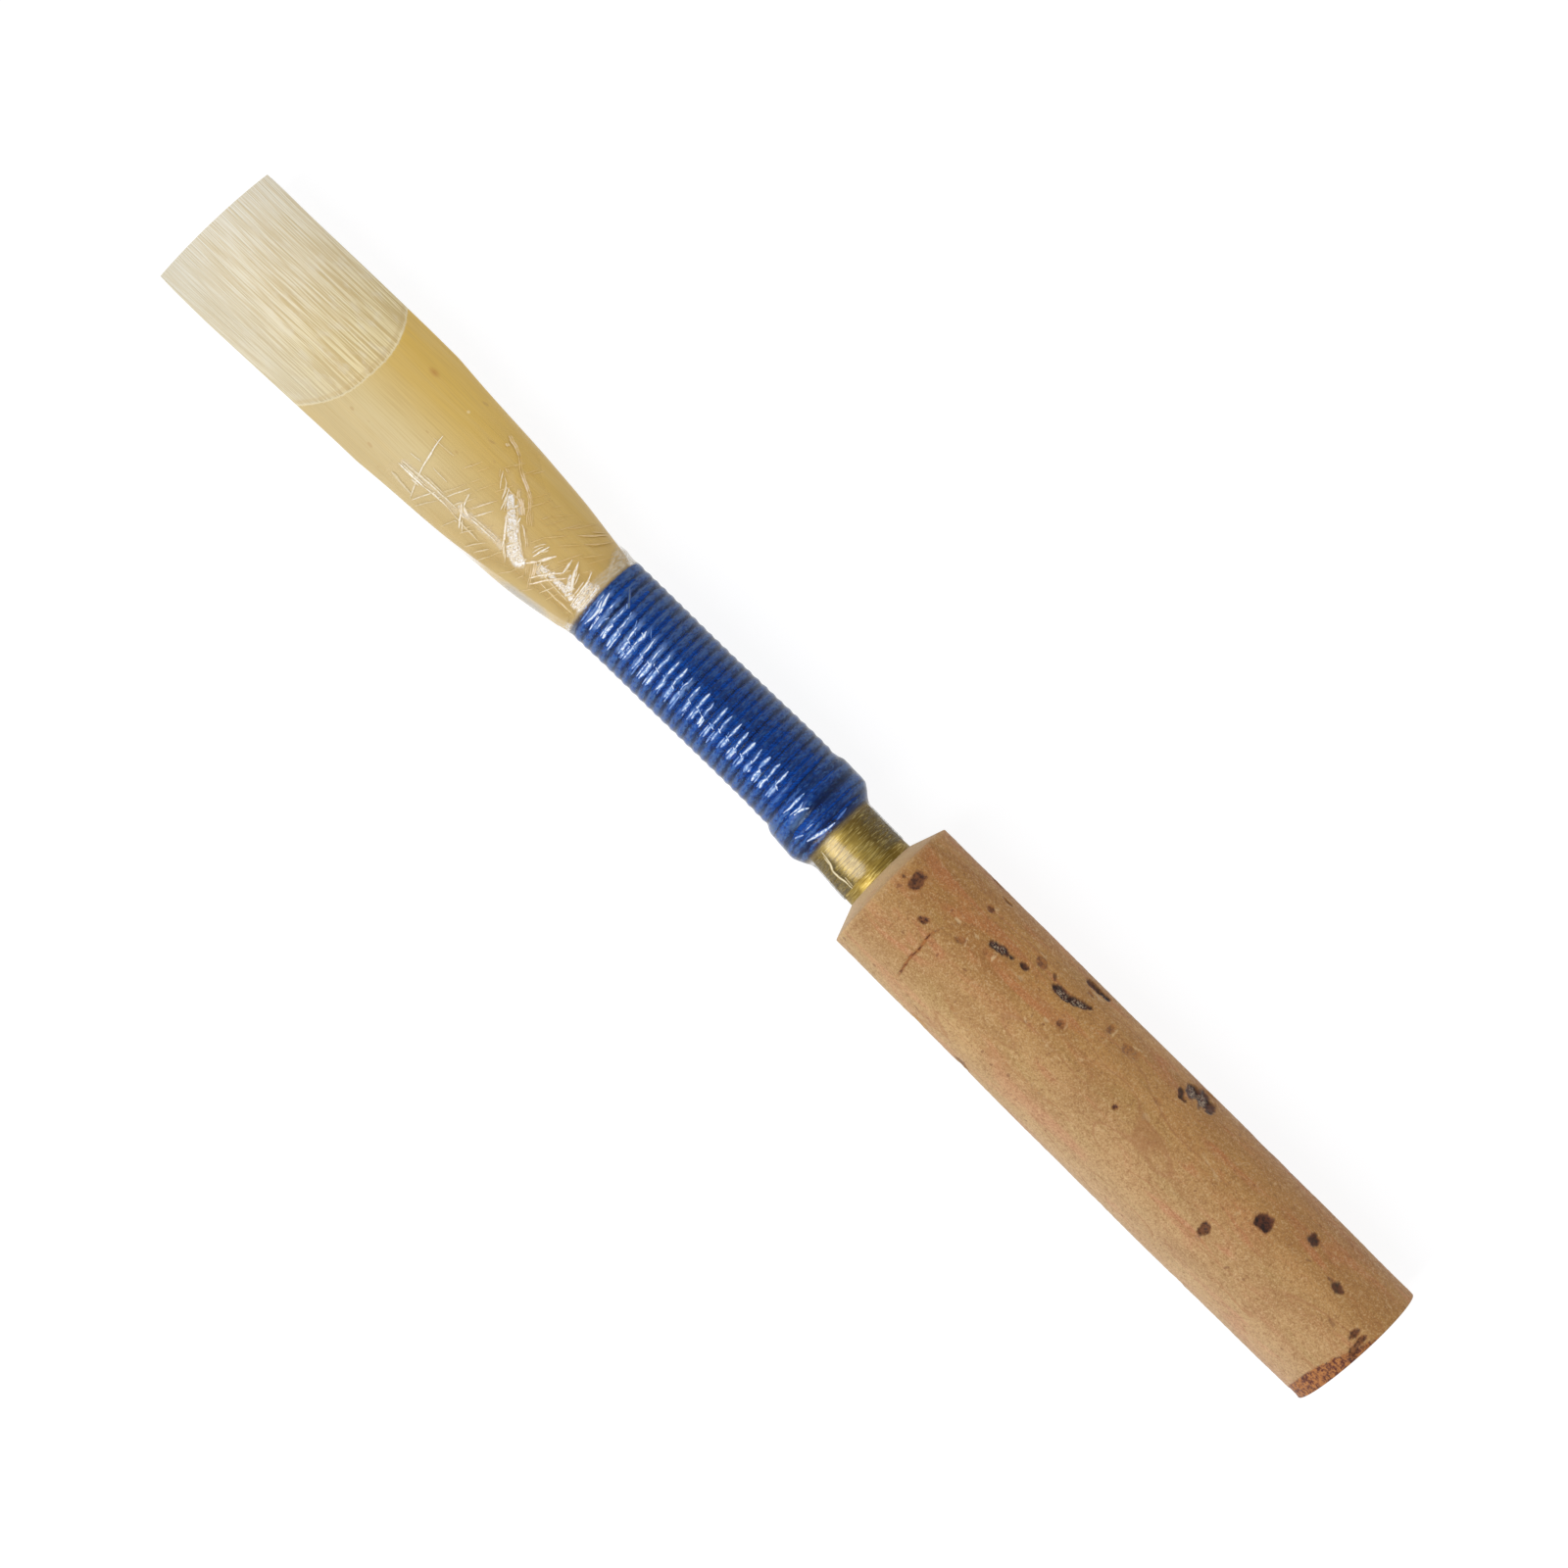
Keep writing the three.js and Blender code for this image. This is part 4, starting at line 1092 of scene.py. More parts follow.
def strand_mesh(name, tree, path, material, width, height):
    """Runs the strand tree along a path, which is a mesh of bare edges, and gives back a plain mesh."""
    bare = bpy.data.meshes.new(name + "_path")
    bare.from_pydata(in_metres(path).tolist(), [(end - 1, end) for end in range(1, len(path))], [])
    holder = put(name + "_path", bare)
    modifier = holder.modifiers.new("strand", "NODES")
    modifier.node_group = tree
    sizes = {
        "Strand Width": width * MM,
        "Flattening": 1 - height / width,
        "Ply Depth": PLY_DEPTH * MM,
        "Lay Length": LAY_LENGTH * MM,
        "Axis Height": AXIS_HEIGHT * MM,
        "Sides": STRAND_SIDES,
        "Material": material,
    }
    for item in tree.interface.items_tree:
        if item.in_out == "INPUT" and item.name in sizes:
            modifier[item.identifier] = sizes[item.name]
    bpy.context.view_layer.update()
    evaluated = holder.evaluated_get(bpy.context.evaluated_depsgraph_get())
    mesh = bpy.data.meshes.new_from_object(evaluated)
    mesh.name = name
    bpy.data.objects.remove(holder)
    return mesh


# How far the film stands off the cane's edges, where it is drawn straight towards the thread.
FILM_WEB_STATIONS = (13, 16.3, 18.1, 19.9, 21.6, 23.4, 24.5, THROAT)
FILM_WEB_MINUS_Y = (0, 0, 0.01, 0.05, 0.18, 0.22, 0.24, 0.36)
FILM_WEB_PLUS_Y = (0, 0, 0, 0.01, 0.02, 0.06, 0.17, 0.3)

# Lines in the film over the cane: width, strength, warmth, then each point's station and Y. Most are creases
# pressed into it; the long ones along its lit side are painted highlights where it reflects the light.
FILM_STROKES = (
    (0.085, 0.95, 0, 14.91, 0.4, 15, -0.18, 15.12, -0.79, 15.22, -1.32, 15.33, -1.68),
    (0.08, 0.55, 0, 15.33, -1.68, 15.49, -2.21, 15.63, -2.66),
    (0.1, 1, 0, 14.24, -1.89, 15.18, -1.87, 15.85, -1.85),
    (0.07, 0.6, 0, 14.3, -1.79, 15.1, -1.78, 15.9, -1.74),
    (0.09, 0.65, 0, 15.85, -1.84, 16.52, -1.77, 17.33, -1.74),
    (0.07, 0.35, 0, 17.33, -1.76, 18.29, -1.85, 19.35, -1.87),
    (0.09, 0.55, 0, 14.3, -1.68, 15.2, -1.62, 16.1, -1.56, 17.66, -1.51),
    (0.06, 0.4, 0, 14.34, -1.19, 15.01, -1.12),
    (0.07, 0.35, 0, 15.6, -0.94, 16.5, -0.97),
    (0.08, 0.35, 0, 15.44, -1.46, 16.69, -1.43),
    (0.08, 0.22, 0, 14.65, 0.02, 15.94, 0.09),
    (0.12, 0.25, 0, 14.21, -2.39, 15.54, -2.48),
    (0.08, 0.5, 0, 15.16, -1.99, 15.61, -1.97),
    (0.09, 0.7, 0, 18.25, -1.42, 18.88, -1.37, 19.41, -1.35, 20.03, -1.34),
    (0.07, 0.5, 0, 18.2, -1.29, 18.9, -1.25, 19.5, -1.2, 20.05, -1.18),
    (0.07, 0.4, 0, 22.13, -0.9, 23.01, -0.94, 23.85, -0.99, 24.21, -1.01),
    (0.08, 0.35, 0, 22.63, -1.27, 23.64, -1.29, 24.74, -1.25),
    (0.12, 0.95, 0, 17.62, -0.66, 17.72, -0.97, 17.82, -1.23),
    (0.13, 0.7, 0.4, 17.64, -1.19, 17.76, -1.37, 17.97, -1.5),
    (0.14, 0.75, 0.3, 17.82, -1.23, 18.03, -1.37, 18.25, -1.37),
    (0.1, 0.6, 0.3, 17.71, -1.45, 17.93, -1.54, 18.1, -1.59, 18.29, -1.5),
    (0.11, 1, 0.2, 17.89, -1.5, 18.08, -1.81, 18.27, -2.07),
    (0.08, 0.5, 0.4, 18.14, -1.67, 18.33, -1.94, 18.48, -2.12),
    (0.08, 0.4, 0, 17.88, -1.94, 18.02, -1.94),
    (0.07, 0.5, 0, 17.47, -0.44, 17.21, -0.92, 16.91, -1.45),
    (0.06, 0.25, 0, 16.91, -1.45, 16.56, -1.81),
    (0.07, 0.55, 0, 16.4, -1.63, 16.08, -2.12, 15.72, -2.66),
    (0.06, 0.3, 0, 16.74, -1.85, 16.32, -2.34, 16.01, -2.75),
    (0.06, 0.55, 0.5, 18.71, -0.04, 18.43, -0.53, 18.14, -1.1),
    (0.07, 0.55, 0, 18.97, -0.42, 18.73, -0.79, 18.44, -1.23),
    (0.07, 0.4, 0, 17.6, -1.14, 17.4, -1.5),
    (0.06, 0.25, 0, 17.93, -1.9, 17.56, -2.57),
    (0.06, 0.25, 0, 18.85, -1.63, 18.42, -2.21),
    (0.06, 0.35, 0, 19.64, -1.67, 19.17, -2.21, 18.93, -2.52),
    (0.06, 0.3, 0, 19.94, -1.76, 19.44, -2.39),
    (0.05, 0.22, 0, 20.17, -1.98, 19.73, -2.57),
    (0.09, 0.5, 0.8, 16.91, 2.47, 17.23, 2.38),
    (0.09, 0.6, 0.9, 17.06, 2.36, 17.46, 2.32, 17.93, 2.12),
    (0.13, 0.65, 0.5, 17.11, 2.12, 17.27, 2.09),
    (0.06, 0.4, 1, 17.93, 2.12, 18.22, 1.9, 18.51, 1.67, 18.79, 1.56),
    (0.09, 0.75, 0.8, 18.51, 1.67, 18.88, 1.5, 19.15, 1.39, 19.52, 1.23),
    (0.06, 0.5, 0.9, 18.79, 1.54, 19.25, 1.32, 19.7, 1.14, 19.98, 0.92),
    (0.07, 0.5, 1, 19.43, 1.19, 19.71, 1.06, 19.98, 0.79, 20.17, 0.57),
    (0.07, 0.55, 0, 17.97, 1.14, 18.25, 0.75, 18.48, 0.48),
    (0.06, 0.35, 0, 17.83, 1.14, 18.07, 0.84),
    (0.07, 0.4, 0.5, 17.96, 1.3, 18.18, 1.25),
    (0.08, 0.6, 0.2, 18.15, 1.06, 18.47, 0.88, 18.7, 0.57, 18.88, 0.18),
    (0.06, 0.5, 0, 18.47, 0.92, 18.7, 0.53, 18.84, 0.22),
    (0.1, 0.8, 0, 18.74, 0.79, 18.93, 0.44, 19.06, 0.13, 19.17, -0.18),
    (0.06, 0.5, 0, 18.88, 0.44, 19.06, 0.09, 19.11, -0.09),
    (0.07, 0.6, 0.3, 18.97, 0.4, 19.24, 0, 19.33, -0.09),
    (0.08, 0.6, 0.6, 19.04, 1.06, 19.23, 0.79, 19.45, 0.7),
    (0.06, 0.5, 0.4, 18.56, 0.75, 18.88, 0.7, 19.1, 0.75, 19.36, 0.7),
    (0.12, 0.8, 0.8, 19.36, 0.75, 19.59, 0.66, 19.81, 0.51, 20.04, 0.33),
    (0.07, 0.4, 0.5, 19.13, 0.92, 19.32, 0.75),
    (0.07, 0.6, 1, 19.45, 0.88, 19.72, 0.62, 19.9, 0.44),
    (0.06, 0.4, 1, 20.08, 0.62, 20.3, 0.35, 20.53, 0.18),
    (0.05, 0.3, 1, 20.16, 0.75, 20.43, 0.48, 20.7, 0.26),
    (0.09, 0.7, 0.4, 20.3, 0.04, 20.57, -0.09, 20.79, -0.26, 21.05, -0.44),
    (0.08, 0.6, 0.4, 20.21, -0.13, 20.48, -0.31, 20.69, -0.53, 20.95, -0.7, 21.25, -0.88),
    (0.06, 0.4, 0.8, 20.7, -0.18, 20.96, -0.4, 21.18, -0.61),
    (0.1, 1, 0, 20.04, 0.22, 20.09, 0.04, 20.11, -0.13),
    (0.12, 1, 0.3, 19.46, -0.04, 19.72, -0.4, 19.93, -0.7, 20.14, -0.97, 20.34, -1.32),
    (0.08, 0.6, 0.2, 20.14, -0.97, 20.43, -1.32, 20.67, -1.58),
    (0.07, 0.4, 0.2, 20.47, -1.32, 20.71, -1.54, 20.87, -1.72),
    (0.09, 0.6, 0.3, 19.59, 0.44, 19.86, 0.22, 20.04, 0),
    (0.07, 0.45, 0, 21.4, -0.4, 21.54, -0.09, 21.72, 0.18),
    (0.12, 1, 0, 21.66, -0.66, 21.76, -0.26, 21.9, 0.18),
    (0.07, 0.5, 0, 21.53, -0.57, 21.63, -0.18, 21.72, 0),
    (0.08, 0.5, 0, 21.85, -0.22, 21.99, 0.04),
    (0.13, 0.95, 0.3, 22.43, 0.09, 22.25, -0.18, 22.07, -0.48, 21.97, -0.66),
    (0.12, 0.8, 0.4, 21.97, -0.66, 21.78, -0.88, 21.63, -1.1),
    (0.1, 0.65, 0.9, 21.88, -0.75, 22.08, -1.05, 22.23, -1.36),
    (0.07, 0.5, 0.2, 22.06, -0.53, 22.18, -0.79, 22.22, -0.97),
    (0.06, 0.35, 0, 22.47, -0.39, 22.39, -0.61),
    (0.05, 0.4, 1, 21.86, -0.97, 22.06, -1.23, 22.28, -1.67, 22.41, -1.9),
    (0.05, 0.4, 1, 21.72, -1.14, 21.95, -1.45),
    (0.1, 0.85, 0.5, 23.45, -0.31, 23.17, -0.61, 22.78, -1.05, 22.47, -1.5, 22.32, -1.67),
    (0.11, 0.9, 0.3, 23.18, -0.22, 22.95, -0.48, 22.67, -0.79, 22.43, -1.1, 22.17, -1.45),
    (0.12, 1, 0, 23.05, 0.48, 23.1, 0.18, 23.16, -0.13, 23.16, -0.26),
    (0.07, 0.4, 0.3, 23.36, 0.09, 23.18, -0.13),
    (0.06, 0.4, 0, 23.33, -0.88, 23.16, -1.23, 22.94, -1.63),
    (0.15, 1, 0.2, 23.31, 0.61, 23.43, 0.39, 23.54, 0.13, 23.68, -0.13, 23.89, -0.39, 23.93, -0.53),
    (0.07, 0.6, 0.2, 23.45, 0.39, 23.63, 0.18, 23.72, 0),
    (0.08, 0.6, 0.1, 23.72, 0.26, 23.86, -0.04, 23.94, -0.26),
    (0.12, 0.8, 0, 23.72, -0.09, 23.94, -0.39, 24.06, -0.61),
    (0.12, 1, 0, 24.08, 0.7, 24.22, 0.39, 24.31, 0.09, 24.35, -0.35, 24.37, -0.7, 24.43, -1.05),
    (0.07, 0.5, 0, 24.18, 0.35, 24.36, 0.33),
    (0.08, 0.7, 0.2, 24.13, 0.13, 24.21, -0.35, 24.21, -0.75),
    (0.1, 0.8, 0, 24.5, 0.31, 24.53, -0.35, 24.56, -1.01),
    (0.1, 0.75, 0.1, 24.68, 0.39, 24.76, -0.26, 24.79, -0.92),
    (0.08, 0.6, 0.1, 24.87, 0.31, 24.94, -0.35, 24.93, -0.88),
    (0.06, 0.35, 0, 23.99, 0.74, 24.13, 0.53),
    (0.05, 0.15, 1, 21.03, 1.23, 21.62, 1.98),
    (0.05, 0.2, 1, 21.9, 1.32, 22.36, 1.98),
    (0.07, 0.38, 1, 22.43, 1.41, 22.94, 1.94, 23.17, 2.29),
    (0.06, 0.3, 1, 22.67, 1.67, 23.04, 2.11, 23.2, 2.34),
    (0.06, 0.33, 1, 22.92, 1.32, 23.2, 1.63, 23.5, 2.03),
    (0.05, 0.3, 1, 22.71, 1.98, 23, 2.29),
    (0.05, 0.2, 1, 22.07, 1.49, 22.48, 2.29),
    (0.05, 0.16, 0.5, 21.5, 0.35, 22.1, 1.05),
    (0.05, 0.14, 0.5, 22.12, 0.44, 22.8, 1.14),
    (0.05, 0.15, 0.5, 23.26, 0.79, 23.83, 1.58),
    (0.05, 0.2, 0, 21.39, -1.76, 20.88, -2.34),
    (0.05, 0.2, 0.3, 22.62, -1.67, 22.15, -2.21),
)

# The same over the thread and the brass. Over the thread many of them are painted highlights on the crests
# of the turns.
THREAD_STROKES = (
    (0.2, 1, 0, 25.35, 0.57, 25.46, 0.17, 25.61, -0.22, 25.72, -0.61, 25.77, -1.23),
    (0.16, 0.95, 0, 25.35, 0.09, 25.52, -0.35, 25.54, -0.7, 25.45, -1.18),
    (0.1, 0.7, 0, 25.2, 0.35, 25.26, -0.09, 25.39, -0.35),
    (0.1, 0.95, 0, 25.83, 0.44, 25.84, 0.09),
    (0.1, 0.8, 0, 26.09, -0.22, 25.97, -0.48, 26, -0.96),
    (0.08, 0.5, 0, 25.2, -0.52, 25.22, -1.23),
    (0.1, 0.7, 0, 25.63, 0.83, 25.66, 0.7),
    (0.13, 0.42, 1, 25.8, 1.36, 26.08, 1.09, 26.31, 0.83, 26.49, 0.66),
    (0.07, 0.75, 0, 26.23, 0.79, 26.41, 0.61),
    (0.08, 0.7, 0, 26.63, 0.66, 26.72, 0.48),
    (0.1, 0.9, 0, 26.78, 0.39, 26.87, 0.33),
    (0.08, 0.6, 0, 27.07, 0.57, 27.2, 0.35, 27.33, 0.17, 27.51, 0.04),
    (0.09, 0.9, 0, 27.6, 0.33, 27.73, 0.28),
    (0.07, 0.4, 0, 27.81, 0.74, 27.99, 0.52, 28.21, 0.35),
    (0.07, 0.6, 0, 28.3, 0.26, 28.43, 0.13),
    (0.15, 0.95, 0, 37.81, 0.26, 37.79, -0.26, 37.8, -0.61, 37.74, -1),
    (0.12, 0.85, 0, 38.03, -0.04, 38.11, -0.35, 38.04, -0.7, 37.95, -1.09),
    (0.15, 1, 0.4, 38.42, -0.04, 38.24, -0.3, 38.14, -0.74),
    (0.14, 0.8, 0.3, 38.33, -0.13, 38.24, -0.35),
    (0.18, 0.9, 0, 39.68, 0.3, 39.64, -0.13, 39.5, -0.61, 39.35, -1.17),
    (0.12, 0.8, 0, 39.59, -0.26, 39.49, -0.78, 39.4, -1.04),
    (0.1, 0.75, 0, 39.03, -0.39, 38.99, -0.87),
    (0.12, 0.75, 0, 39.07, -1.04, 38.95, -1.26, 38.85, -1.44),
    (0.12, 0.3, 0, 39.58, 1.13, 39.64, 0.43),
    (0.1, 0.8, 0, 37.11, 1.72, 37.22, 1.7),
    (0.09, 0.85, 0.5, 40.14, -1.05, 40.44, -1.09, 40.74, -1.15, 41.04, -1.31, 41.47, -1.31, 41.83, -1.24)
    + (42.22, -1.26),
    (0.06, 0.6, 0.3, 40.3, -1.13, 40.82, -1.22),
    (0.05, 0.5, 0.5, 41.62, -1.13, 42.22, -1.17),
)

# Milky places in the film: half width, strength, then each point's station and Y. The long ones along the
# lit side are partly painted highlight, and the last, over the brass, is a painted highlight.
FILM_PATCHES = (
    (0.42, 0.12, 14.19, -2.26, 14.9, -2.26, 15.8, -2.21),
    (0.18, 0.2, 14.39, -1.66, 15.87, -1.64, 17.66, -1.6),
    (0.2, 0.26, 18.25, -1.37, 19.41, -1.3, 20.3, -1.28),
    (0.13, 0.4, 17.64, -1.23, 17.93, -1.45, 18.2, -1.45),
    (0.16, 0.75, 19.06, 0.53, 19.33, 0.26, 19.64, 0, 19.86, -0.18),
    (0.24, 0.95, 19.77, -0.13, 19.99, -0.26, 20.17, -0.4),
    (0.2, 0.75, 20.16, -0.53, 20.46, -0.7, 20.77, -0.88, 21.11, -1.1, 21.45, -1.23),
    (0.18, 0.6, 20.58, -1.06, 20.83, -1.28, 21.26, -1.36),
    (0.12, 0.35, 19.5, 0.66, 19.9, 0.35),
    (0.13, 0.55, 22.18, -0.77, 22.81, -0.72, 23.47, -0.7, 23.97, -0.7),
    (0.12, 0.3, 22.13, -1.01, 22.57, -1.01),
    (0.13, 0.8, 23.59, -0.18, 23.76, -0.39, 23.97, -0.66, 24.18, -0.79),
    (0.14, 0.7, 24.45, 0.18, 24.53, -0.35, 24.58, -0.88),
    (0.14, 0.75, 24.77, 0.31, 24.85, -0.26, 24.85, -0.83),
    (0.2, 0.14, 18.27, 1.32, 18.73, 1.06, 19.27, 0.97),
    (0.4, 0.25, 40.3, -0.5, 41.9, -0.5),
)


def stroke(row, values):
    """A row of one of these lists as its points, then its first values."""
    return np.reshape(row[values:], (-1, 2)), *row[:values]


def painted_turn_highlights():
    """Painted highlights along the crests of the turns, where the film over each turn reflects the light."""
    spots = np.random.default_rng(5)
    lines = []
    for number in range(*PAINTED_HIGHLIGHT_TURNS):
        high = spots.uniform(0.34, 0.62)
        low = spots.uniform(-0.42, -0.3)
        shift = spots.normal(0, 0.025)
        sides = np.linspace(high, low, 4)
        angles = np.arccos((sides - 0.3) / 2.3)
        crest = turn_station(number + angles / (2 * math.pi)) + shift
        upper = np.stack([crest + spots.normal(0, 0.03, 4), sides], axis=1)
        lines.append((upper, spots.uniform(0.12, 0.22), spots.uniform(0.75, 1.0), 0))
        start = crest[-1] + spots.normal(0.03, 0.05)
        deep = spots.uniform(-1.25, -1.0) + (0.16 if number > 9 else 0)
        lower = ((start, low - 0.02), (start + spots.normal(0.02, 0.03), -0.72), (start + 0.03, deep))
        lines.append((lower, spots.uniform(0.16, 0.28), spots.uniform(0.65, 1.0), 0))
        beside = start + spots.choice((-0.13, 0.14))
        top = (beside, low - spots.uniform(0.05, 0.2))
        foot = (beside + 0.02, deep - spots.uniform(-0.15, 0.25))
        lines.append(((top, foot), spots.uniform(0.08, 0.14), spots.uniform(0.5, 0.9), 0))
        level = low - spots.uniform(0.02, 0.14)
        left = (start - spots.uniform(0.05, 0.2), level + 0.05)
        right = (start + spots.uniform(0.05, 0.2), level - 0.05)
        lines.append(((left, right), spots.uniform(0.07, 0.12), spots.uniform(0.7, 1.0), 0))
        if number % 2:
            speck = start + spots.uniform(-0.2, 0.2)
            top = level + spots.uniform(0.1, 0.5)
            lines.append((((speck, top), (speck + 0.06, top - 0.14)), 0.06, spots.uniform(0.4, 0.8), 0))
    return lines


def faint_scratches():
    """Short faint scratches over the lower half of the cane and beside the throat."""
    spots = np.random.default_rng(8)
    lines = []
    for number in range(SCRATCHES):
        station = spots.uniform(16.5, 24.0)
        side = spots.uniform(-2.3, 2.0)
        long = spots.uniform(0.3, 1.1)
        line = ((station, side), (station + 0.5 * long, side + long))
        lines.append((line, 0.045, spots.uniform(0.1, 0.3), 0.5))
    return lines


def crumpled_lines():
    """Short crossing folds inside the milkiest places."""
    spots = np.random.default_rng(4)
    lines = []
    for row in FILM_PATCHES:
        knots, wide, strength = stroke(row, 2)
        if strength < 0.5:
            continue
        lengths = line_lengths(knots)
        for number in range(int(lengths[-1] * wide * 160)):
            middle = on_line(spots.uniform(0, lengths[-1]), knots, lengths)
            start = middle + spots.uniform(-1, 1, 2) * wide
            bearing = math.radians(spots.choice((-62, 55)) + spots.normal(0, 14))
            long = spots.uniform(0.08, 0.2)
            end = start + (long * math.cos(bearing), long * math.sin(bearing))
            lines.append(((start, end), spots.uniform(0.04, 0.08), spots.uniform(0.3, 1.0), 0.1))
    return lines


def turn_ripple(station, angles):
    """How near the film is to the crest of a turn of thread, from 0 to 1."""
    table = np.linspace(0, THREAD_TURNS, 2000)
    turns = np.interp(station, turn_station(table), table)
    ripple = 0.5 + 0.5 * np.cos(2 * math.pi * turns - angles)
    leaning = SECOND_LAYER_LEAN * np.sin(SECOND_LAYER_START - angles)
    turns_back = np.interp(leaning - station, -np.array(SECOND_LAYER_STATIONS[1:]), SECOND_LAYER_TURNS[1:])
    ripple_back = 0.5 + 0.5 * np.cos(2 * math.pi * turns_back + angles + SECOND_LAYER_START)
    last_turn = 0.5 + 0.5 * np.cos(2 * math.pi * (station - SECOND_LAYER_STATIONS[0]) / 0.6)
    ripple_back = lerp(ripple_back, last_turn, smooth(station, 39.15, 39.3))
    return lerp(ripple_back, ripple, 1 - smooth(station, 37.45, 37.8))


def over_thread_share(station):
    return within(station, THROAT - 0.05, THROAT + 0.15, 39.6, 39.9)


def groove_relief(station, angles, ripple):
    """How far the film dips between the turns, less at the flanks and over the second layer."""
    at_flank = lerp(0.35, 0.08, smooth(station, 37.3, 37.8))
    dip = lerp(1.0, at_flank, smooth(np.abs(np.cos(angles)), 0.55, 1.0))
    return -GROOVE_DEPTH * (1 - ripple) * over_thread_share(station) * dip


def film_outline(station, angles):
    """The film's half axes over the cane, the thread and the brass neck."""
    over_turns = STRAND_HEIGHT + STRAND_LIFT + FILM_GAP
    on_cane = np.minimum(station, THROAT)
    web = np.interp(station, FILM_WEB_STATIONS, FILM_WEB_MINUS_Y)
    web = lerp(web, np.interp(station, FILM_WEB_STATIONS, FILM_WEB_PLUS_Y), (1 + np.cos(angles)) / 2)
    rise = over_turns * np.clip((station - THROAT + FILM_RISE_RUN) / FILM_RISE_RUN, 0, 1) ** 2.2
    cane_width = blade_half_width(on_cane) + FILM_GAP + web
    cane_height = hollow_half_height(on_cane) + CANE_THICKNESS + EDGE_GAP / 2 + FILM_GAP + rise
    bed_width, bed_height = bed_half_axes(np.maximum(station, THROAT))
    # It comes down on the brass a little later on one side.
    late = FILM_LATE_ON_BRASS * (1 - np.cos(angles)) / 2
    lift = over_turns + SECOND_LAYER_HEIGHT * smooth(station, 37.2, 37.9)
    lift = lerp(lift, FILM_GAP_AT_NECK, smooth(station, 39.1, 40.12 + late))
    width = lerp(cane_width, bed_width + lift, smooth(station, THROAT - 0.35, THROAT + 0.1))
    height = np.where(station < THROAT, cane_height, bed_height + lift)
    return width, height


def on_top(angles):
    return np.sin(angles) > 0.02


def film_creases_and_highlight(station, angles, y, ripple, rough, fine):
    """How creased the film is, from 0 to 1, with a painted highlight halo round the turns."""
    crease_with_highlight = np.zeros_like(station)
    for row in FILM_PATCHES:
        line, wide, strength = stroke(row, 2)
        first = line[:, 0].min() - 1.0
        last = line[:, 0].max() + 1.0
        near = (station > first) & (station < last) & on_top(angles)
        far, _ = way_to_line(station[near], y[near] + 0.05 * rough[near], line)
        hit = strength * (1 - smooth(far + 0.05 * fine[near], 0.45 * wide, 1.5 * wide))
        crease_with_highlight[near] = np.maximum(crease_with_highlight[near], hit)
    # Round the painted highlights on the turns lies a painted halo of highlight, along the crests on the lit
    # side, and less of it further down.
    cosine = np.cos(angles)
    later = smooth(station, 28.5, 32.0)
    band = smooth(-cosine, lerp(-0.42, -0.06, later), lerp(0.0, 0.1, later)) * smooth(cosine, -0.72, -0.55)
    painted_halo = band * smooth(ripple + 0.5 * fine + 0.3 * rough, lerp(0.0, 0.4, later), 1.0)
    painted_halo = painted_halo * over_thread_share(station) * lerp(0.52, 0.2, smooth(station, 30, 33))
    return np.maximum(crease_with_highlight, painted_halo)


def film_veil(station, angles, y, ripple, on_cane):
    """How veiled the film is, from 0 to 1: at the throat, on the thread, over the hitches, on the neck."""
    cosine = np.cos(angles)
    throat_start = THROAT - 0.75 - 0.45 * smooth(np.abs(cosine), 0.4, 0.9)
    at_throat = smooth(station - throat_start, 0.0, 0.4) * on_cane * 0.75
    early = smooth(cosine, 0.2, 0.45) * (1 - smooth(station, 29.0, 33.0))
    # Over the thread it is milkier towards the flanks, which also paints the film's greyish reflection
    # there.
    milky = np.maximum(lerp(0.03, 0.6, smooth(np.abs(cosine), 0.45, 0.95)), 0.42 * early)
    over_turns = over_thread_share(station) * milky * (0.5 + 0.5 * ripple)
    bridge = within(station, 38.15, 38.3, 38.62, 38.78) * within(-y, -0.05, 0.4, 1.2, 1.6) * on_top(angles)
    # On the neck it is thickest on the flanks, where its dark colour paints shade over the brass.
    neck_sides = np.maximum(smooth(-cosine, 0.4, 0.66), smooth(cosine, 0.35, 0.8))
    neck = smooth(station, 39.95, 40.25) * lerp(0.08, 0.72, neck_sides)
    return np.maximum.reduce([at_throat, over_turns, 0.5 * bridge, neck])


